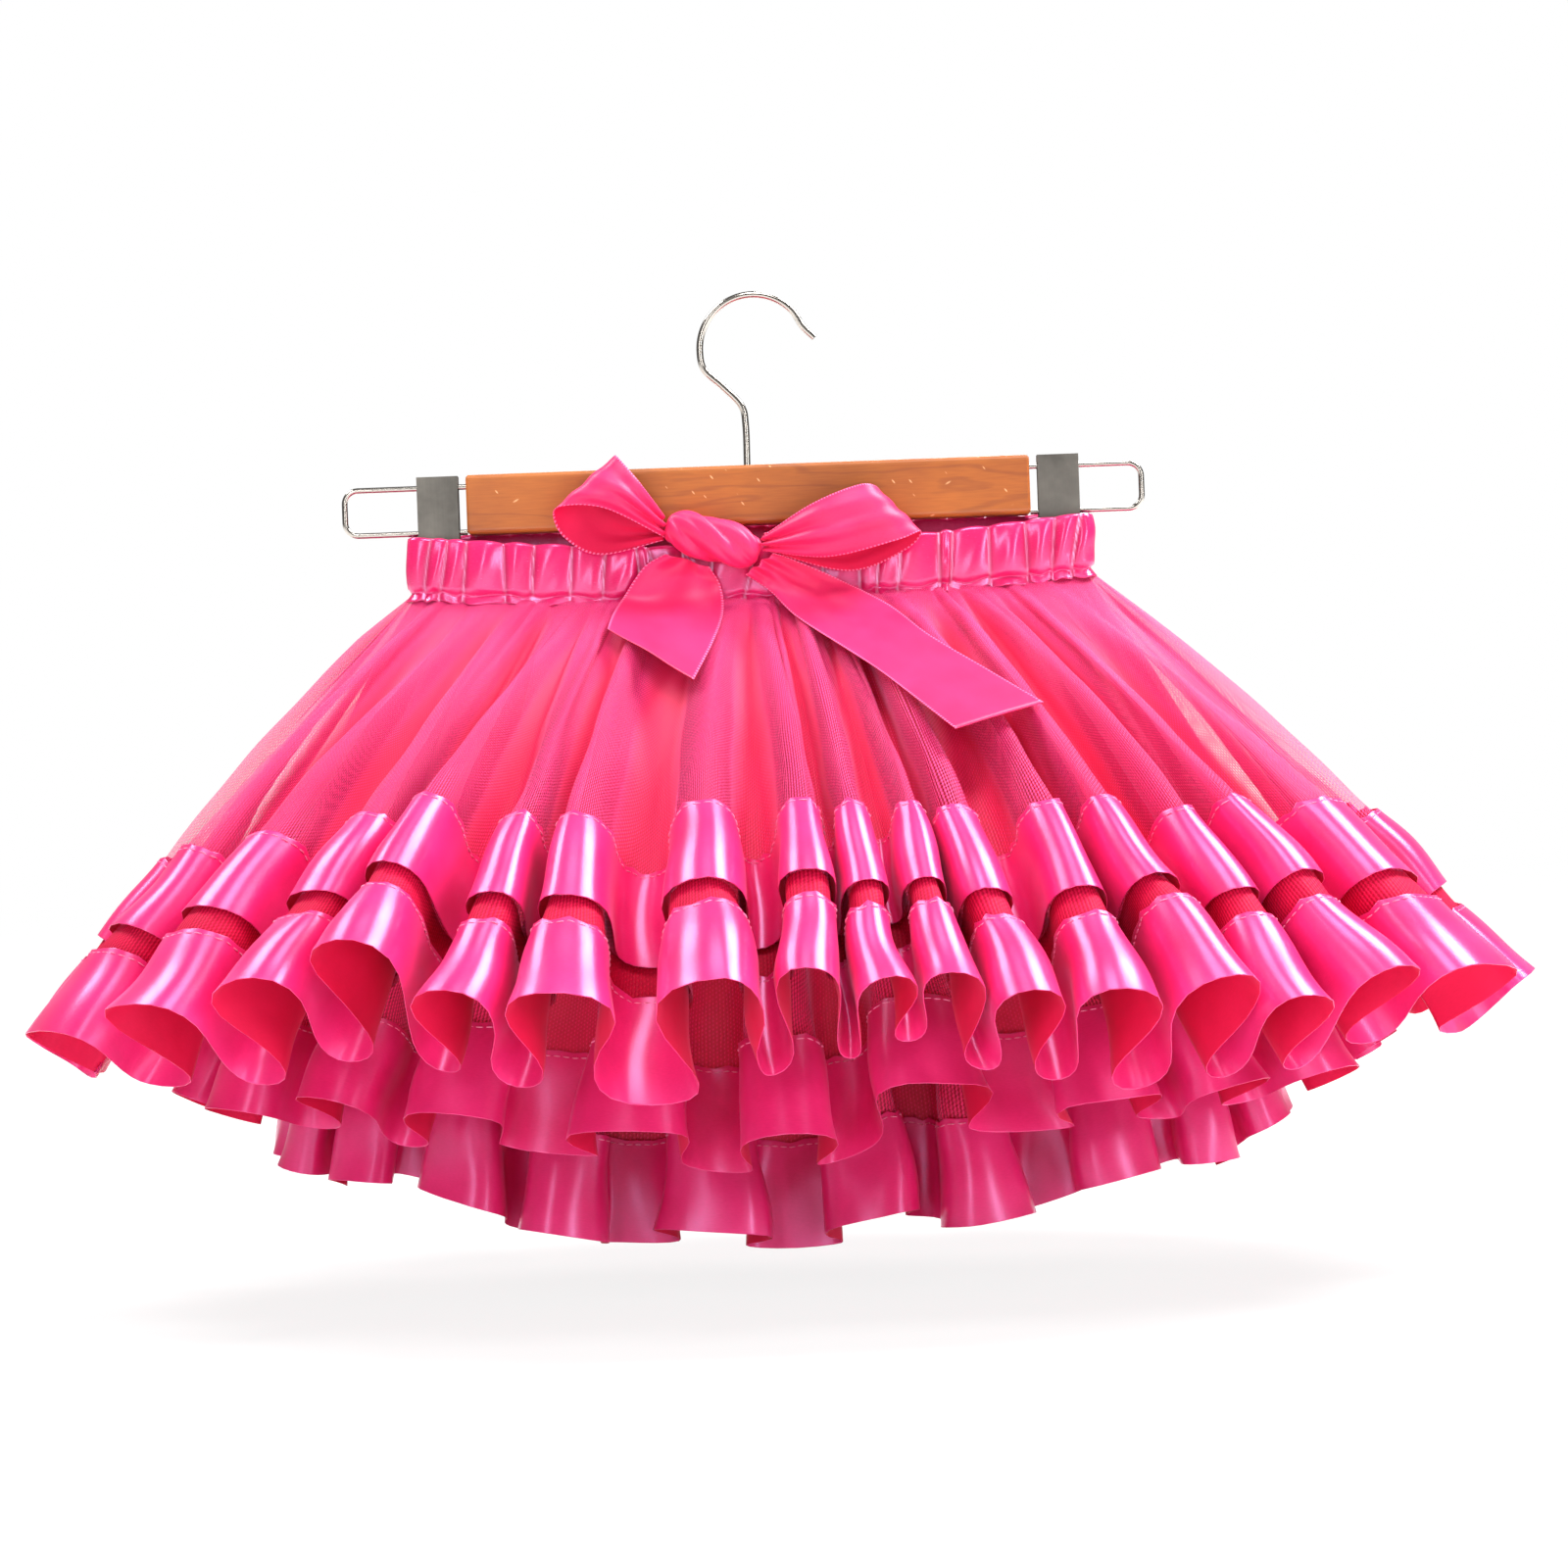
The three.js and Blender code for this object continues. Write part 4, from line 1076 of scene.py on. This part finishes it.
LEFT_LOOP = [
    loop_row((-35.7, -82), (-35.8, -90), 16.6, 0),
    loop_row((-44, -70), (-57, -79), 24, 3),
    loop_row((-51, -61), (-73, -77.5), 23, 2),
    loop_row((-53, -59), (-77, -80.5), 18, 0),
    loop_row((-51, -61.5), (-73, -89), 14, -1),
    loop_row((-45, -72), (-60, -95.5), 12.8, 0),
    loop_row((-35.9, -84), (-36, -91), 14.2, 0),
]
RIGHT_LOOP = [
    loop_row((0.7, -91.2), (0.8, -96.4), 16.8, 0),
    loop_row((20, -80), (25, -100), 25, 3),
    loop_row((38, -73.5), (50, -95), 24, 2),
    loop_row((45, -75), (60, -91.5), 18, 0),
    loop_row((42, -78), (54, -98), 14, -1),
    loop_row((24, -84), (33, -105), 13, 0),
    loop_row((1.2, -90), (3.2, -96.8), 14.2, 0),
]
left_loop, left_length = bow_strip("bow_loop_left", LEFT_LOOP, 1.9, (0, 1), 0.2)
# The right loop goes round the other way, so its rows are turned to keep the glossy face outside.
turned_rows = [row[::-1] for row in RIGHT_LOOP]
right_loop, right_length = bow_strip("bow_loop_right", turned_rows, 1.9, (0, 1), 0.2)
print("loops take", round((left_length + right_length) / MM), "mm of ribbon")

# %% [markdown]
# ## Tails
#
# The tails hang from the knot and lie on the fluted net. They could be dropped on it by a cloth
# simulation, but ribbon this stiff only touches the highest crests, so each section's depth is
# worked out from where the crests stand, and its place across the skirt is given.

# %% Tails that lie on the skirt
TAIL_REST = {"short": 5 * MM, "long": 4.2 * MM}     # from the crests out to each tail
CREST_RISE = 34 * MM                                # taken for all crests at the hem, and deeper than most
TAIL_OVER_BAND = 6.6 * MM                           # from the band's inside out to a tail


def crest_depth(x, z):
    """How far forward the outer layer's crests stand at a place on the skirt's front."""
    near, far = 0.0, outer_layer["length"]
    for _ in range(24):
        along = np.array([(near + far) / 2])
        reach = outer_layer["half_width"] + profile(outer_layer, "side", along)[0]
        turn = np.arcsin(np.clip((x - MIDDLE_X) / reach, -1, 1))
        crest = CREST_RISE * (along / outer_layer["length"]) ** 1.15
        point = mean_point(outer_layer, FRONT, turn, along)
        point = point + mean_normal(outer_layer, FRONT, turn, along) * crest[:, None]
        if point[0, 2] > z:
            near = along[0]
        else:
            far = along[0]
    return -point[0, 1]


def tail_rows(sections, root_depth, rest):
    """Each section is (upper, lower), as x and z in millimetres seen from the front."""
    band_front = BAND_HALF_DEPTH + TAIL_OVER_BAND
    rows = []
    for i, (upper, lower) in enumerate(sections):
        row = []
        for across in (0.0, 0.5, 1.0):
            x = (lower[0] + (upper[0] - lower[0]) * across) * MM
            z = (lower[1] + (upper[1] - lower[1]) * across) * MM
            depth = root_depth * MM if i == 0 else max(band_front, crest_depth(x, z) + rest)
            row.append(np.array([x, -depth, z]))
        rows.append(row)
    return rows


SHORT_TAIL = [
    ((-35.6, -96.2), (-19.5, -101.6)),
    ((-44, -101), (-15.5, -109)),
    ((-52, -112), (-14.8, -119.5)),
    ((-56, -119), (-18.5, -131)),
    ((-57.5, -124), (-25.5, -145)),
]
LONG_TAIL = [
    ((4.6, -97.6), (-6, -105)),
    ((12, -100), (2.5, -111)),
    ((29, -108), (12, -121.5)),
    ((47, -118.5), (28, -134)),
    ((61, -131.5), (41, -144)),
    ((80, -145), (52, -153.5)),
    ((99, -158), (66.5, -166.5)),
]
short_rows = [row[::-1] for row in tail_rows(SHORT_TAIL, 15, TAIL_REST["short"])]
long_rows = tail_rows(LONG_TAIL, 17, TAIL_REST["long"])
short_tail, short_length = bow_strip("bow_tail_short", short_rows, 3.4, (0,), 0.4, 1.4)
long_tail, long_length = bow_strip("bow_tail_long", long_rows, 1.6, (0,), 0.2)
# The folds crushed inside the knot aren't in the mesh.
LOOP_SHOWN = 0.75
for piece, length, shown in ((left_loop, left_length, LOOP_SHOWN), (right_loop, right_length, LOOP_SHOWN),
                             (short_tail, short_length, 1.0), (long_tail, long_length, 1.0)):
    print(piece.name, round(length / MM), "mm of ribbon")

# %% [markdown]
# ## The knot
#
# The ribbon is wound round both loops and pulled tight, so it bulges in slanting folds. They could
# be sculpted, but on a form this small two sets of ridges that run round it on the slant read the
# same, and the formula keeps each fold steep on one side and soft on the other, as wound cloth is.

# %% The knot
KNOT_ROUND = 50 * MM       # of ribbon, once round the knot
# Millimetres, before the knot is tilted.
KNOT = {"x": -17.8, "y": -15.0, "z": -91.5, "half_length": 18.3, "half_depth": 6.2, "half_height": 8.0}
KNOT_TILT = np.radians(19)


def bow_knot():
    """A wrap of ribbon pulled tight: a rounded form whose folds run round it on the slant."""
    p = np.linspace(0, np.pi, 49)[:, None]
    q = np.linspace(0, 2 * np.pi, 121)[:-1][None, :]
    # Each fold rises steeply from under the one before it and falls away slowly.
    ridge = np.sin(np.pi * ((1.5 * q - 2.6 * p + 0.4) / np.pi % 1) ** 0.55)
    small = np.sin(np.pi * ((3.5 * q - 4.6 * p + 1.9) / np.pi % 1) ** 0.6)
    fold = 1 + np.sin(p) * (0.34 * (ridge - 0.65) + 0.12 * (small - 0.65))
    x = -KNOT["half_length"] * np.cos(p) * np.ones_like(q)
    y = KNOT["half_depth"] * np.sin(p) ** 0.5 * fold * np.cos(q)
    z = KNOT["half_height"] * np.sin(p) ** 0.5 * fold * np.sin(q)
    along = x * np.cos(KNOT_TILT) + z * np.sin(KNOT_TILT)
    height = -x * np.sin(KNOT_TILT) + z * np.cos(KNOT_TILT)
    points = np.stack([along + KNOT["x"], y + KNOT["y"], height + KNOT["z"]], axis=-1) * MM
    u = np.linspace(0, KNOT_ROUND, q.shape[1] + 1)
    v = np.linspace(0, 2 * KNOT["half_length"] * MM, len(p))
    piece = grid_mesh("bow_knot_wrap", points, u, v, [bow_satin])
    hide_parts("bow_knot")
    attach(piece, "root")
    print("knot of", len(piece.data.polygons), "faces")


bow_knot()

# %% [markdown]
# ## The hanger
#
# The hook and the two end loops are bent from chromed wire, the bar is a varnished strip of wood,
# and the clips are folded from sheet steel. Each finish could be a flat colour, but drawn wire,
# rolled sheet and sawn wood are told apart by the marks of how they were made.

# %% Chrome on drawn wire
def chromed_wire():
    """Bright chrome plate on drawn wire: a mirror, dulled a little by fine drawing marks."""
    material, tree = new_material("chrome_plated_drawn_wire")
    coords = add(tree, "TexCoord")
    marks = add(tree, "TexNoise", {"Vector": coords.outputs["Object"], "Scale": 900.0, "Detail": 2.0})
    rough = add(tree, "Math", {0: marks.outputs["Fac"], 1: 0.06, 2: 0.13}, operation="MULTIPLY_ADD")
    shader = add(tree, "BsdfPrincipled", {
        "Base Color": linear("#a7a19a"),
        "Metallic": 1.0,
        "Roughness": rough.outputs["Value"],
    })
    add(tree, "OutputMaterial", {"Surface": shader.outputs["BSDF"]})
    return material


chrome = chromed_wire()
print(chrome.name)

# %% Rolled sheet steel
def rolled_steel():
    """Nickelled sheet steel, satin from its rolling: soft reflections drawn out along the roll."""
    material, tree = new_material("nickelled_rolled_sheet_steel")
    coords = add(tree, "TexCoord")
    stretch = add(tree, "Mapping", {"Vector": coords.outputs["Object"], "Scale": (1800.0, 1800.0, 90.0)})
    roll = add(tree, "TexNoise", {"Vector": stretch.outputs["Vector"], "Scale": 1.0, "Detail": 3.0})
    cloudy = add(tree, "TexNoise", {"Vector": coords.outputs["Object"], "Scale": 60.0, "Detail": 4.0})
    colour = add(tree, "ValToRGB", {"Fac": cloudy.outputs["Fac"]})
    colour.color_ramp.elements[0].position = 0.3
    colour.color_ramp.elements[0].color = linear("#54524e")
    colour.color_ramp.elements[1].position = 0.75
    colour.color_ramp.elements[1].color = linear("#7d7972")
    rough = add(tree, "Math", {0: roll.outputs["Fac"], 1: 0.25, 2: 0.36}, operation="MULTIPLY_ADD")
    bump = add(tree, "Bump", {"Height": roll.outputs["Fac"], "Strength": 0.15, "Distance": 0.05 * MM})
    shader = add(tree, "BsdfPrincipled", {
        "Base Color": colour.outputs["Color"],
        "Metallic": 1.0,
        "Roughness": rough.outputs["Value"],
        "Normal": bump.outputs["Normal"],
    })
    add(tree, "OutputMaterial", {"Surface": shader.outputs["BSDF"]})
    return material


steel = rolled_steel()
print(steel.name)

# %% Varnished wood
GRAIN_LINE = 3.2 * MM      # from one dark growth line to the next on this flat-sawn strip


def varnished_wood():
    """Flat-sawn softwood, stained orange and varnished: long grain under a clear glossy film."""
    material, tree = new_material("stained_varnished_wood")
    coords = add(tree, "TexCoord")
    stretch = add(tree, "Mapping", {
        "Vector": coords.outputs["Object"],
        "Scale": (9.0, 1 / (8 * GRAIN_LINE), 1 / (5 * GRAIN_LINE)),
    })
    warp = add(tree, "TexNoise", {"Vector": stretch.outputs["Vector"], "Scale": 1.0, "Detail": 3.0})
    lines = add(tree, "Math", {0: warp.outputs["Fac"], 1: 42.0}, operation="MULTIPLY")
    ring = add(tree, "Math", {0: lines.outputs["Value"]}, operation="SINE")
    sharp = add(tree, "MapRange", {"Value": ring.outputs["Value"], "From Min": 0.55, "From Max": 1.0})
    drawn_out = add(tree, "Mapping", {
        "Vector": coords.outputs["Object"],
        "Scale": (120.0, 1600.0, 1600.0),
    })
    pores = add(tree, "TexNoise", {"Vector": drawn_out.outputs["Vector"], "Scale": 1.0, "Detail": 3.0})
    cloudy = add(tree, "TexNoise", {"Vector": coords.outputs["Object"], "Scale": 22.0, "Detail": 3.0})
    mixed = add(tree, "Math", {0: pores.outputs["Fac"], 1: 0.45, 2: cloudy.outputs["Fac"]},
                operation="MULTIPLY_ADD")
    ground = add(tree, "ValToRGB", {"Fac": mixed.outputs["Value"]})
    ground.color_ramp.elements[0].position = 0.45
    ground.color_ramp.elements[0].color = linear("#8b440b")
    ground.color_ramp.elements[1].position = 1.0
    ground.color_ramp.elements[1].color = linear("#b26319")
    line_share = add(tree, "Math", {0: sharp.outputs["Result"], 1: 0.3}, operation="MULTIPLY")
    grain = add(tree, "Mix", {
        "Factor": line_share.outputs["Value"],
        6: ground.outputs["Color"],
        7: linear("#66260c"),
    }, data_type="RGBA")
    # The varnish is scratched in two directions: a few long nicks and many short ones.
    scratched = grain.outputs[2]
    for slope, pitch in ((0.5, 5.2 * MM), (-0.9, 3.4 * MM)):
        turned = add(tree, "Mapping", {"Vector": coords.outputs["Object"], "Rotation": (0.0, slope, 0.0)})
        drawn = add(tree, "Mapping", {
            "Vector": turned.outputs["Vector"],
            "Scale": (0.3 / pitch, 1 / pitch, 1 / pitch),
        })
        cells = add(tree, "TexVoronoi", {"Vector": drawn.outputs["Vector"], "Scale": 1.0})
        nick = add(tree, "MapRange", {
            "Value": cells.outputs["Distance"],
            "From Min": 0.10,
            "From Max": 0.04,
            "To Max": 0.8,
        })
        mixed_in = add(tree, "Mix", {
            "Factor": nick.outputs["Result"],
            6: scratched,
            7: linear("#f4be86"),
        }, data_type="RGBA")
        scratched = mixed_in.outputs[2]
    bump = add(tree, "Bump", {"Height": mixed.outputs["Value"], "Strength": 0.12, "Distance": 0.1 * MM})
    shader = add(tree, "BsdfPrincipled", {
        "Base Color": scratched,
        "Roughness": 0.5,
        "IOR": 1.5,
        "Normal": bump.outputs["Normal"],
        "Coat Weight": 0.3,
        "Coat Roughness": 0.18,
    })
    add(tree, "OutputMaterial", {"Surface": shader.outputs["BSDF"]})
    return material


wood = varnished_wood()
print(wood.name)

# %% [markdown]
# ## Bent wires
#
# The wires' CAD solids are faceted. They could be smoothed, but a curve with a round bevel along
# the same path gives an even tube with as many sides as the highlight needs.

# %% Wires along their paths
def wire(name, path, radius, material, node):
    """A round tube along a path of points, with closed ends."""
    curve = bpy.data.curves.new(name, "CURVE")
    curve.dimensions = "3D"
    curve.bevel_depth = radius
    curve.bevel_resolution = 5
    curve.use_fill_caps = True
    spline = curve.splines.new("POLY")
    spline.points.add(len(path) - 1)
    for point, place in zip(spline.points, path):
        point.co = (*place, 1.0)
    curve.materials.append(material)
    piece = bpy.data.objects.new(name, curve)
    bpy.context.scene.collection.objects.link(piece)
    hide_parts(node)
    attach(piece, "root")
    print(name, len(path), "points")


# Radii and places of the wires and the bar, in millimetres.
HOOK_WIRE = 1.3
HOOK_RADIUS = 20.3
STEM_X = -4.0
BAR = {"half_length": 106.0, "top": -63.3}
CROWN_Z = HOOK_WIRE - HOOK_RADIUS
hook_points = [(23.1, 0, -15.8)]
for angle in np.radians(np.arange(22, 203, 20)):
    hook_points.append((HOOK_RADIUS * np.cos(angle), 0, CROWN_Z + HOOK_RADIUS * np.sin(angle)))
hook_points += [(-12.2, 0, -33), (STEM_X - 1.4, 0, -40.5), (STEM_X, 0, -48), (STEM_X, 0, BAR["top"] + 0.3)]
wire("bent_wire_hook", catmull_rom(hook_points, 120) * MM, HOOK_WIRE * MM, chrome, "hook")

LOOP_WIRE = {"radius": 1.1, "top": -67.4, "bottom": -84.5, "corner": 5.0}
for name, side, reach in (("left", -1, 152.4), ("right", 1, 148.5)):
    corner = LOOP_WIRE["corner"]
    start = BAR["half_length"] + 0.3
    upper = [(reach - corner + corner * np.cos(a), LOOP_WIRE["top"] - corner + corner * np.sin(a))
             for a in np.radians(np.linspace(90, 0, 9))]
    lower = [(d, LOOP_WIRE["top"] + LOOP_WIRE["bottom"] - z) for d, z in reversed(upper)]
    route = [(start, LOOP_WIRE["top"]), *upper, *lower, (start, LOOP_WIRE["bottom"])]
    path = np.array([(MIDDLE_X / MM + side * d, 0.0, z) for d, z in route]) * MM
    radius = LOOP_WIRE["radius"] * MM
    wire(f"bent_wire_loop_{name}", path, radius, chrome, f"wire_loop_{name}")

# %% [markdown]
# ## Bar and clips
#
# A sawn bar and folded sheet have flat faces and crisp edges. They could be modelled again, but
# their CAD solids have that shape already, so they only take their finishes.

# %% Bar and clips keep their CAD shapes
for node, material in (("hanger_bar", wood), ("clip_left", steel), ("clip_right", steel)):
    solid = bpy.data.objects[node]
    solid.data.materials.clear()
    solid.data.materials.append(material)
    print(node, "is", material.name)
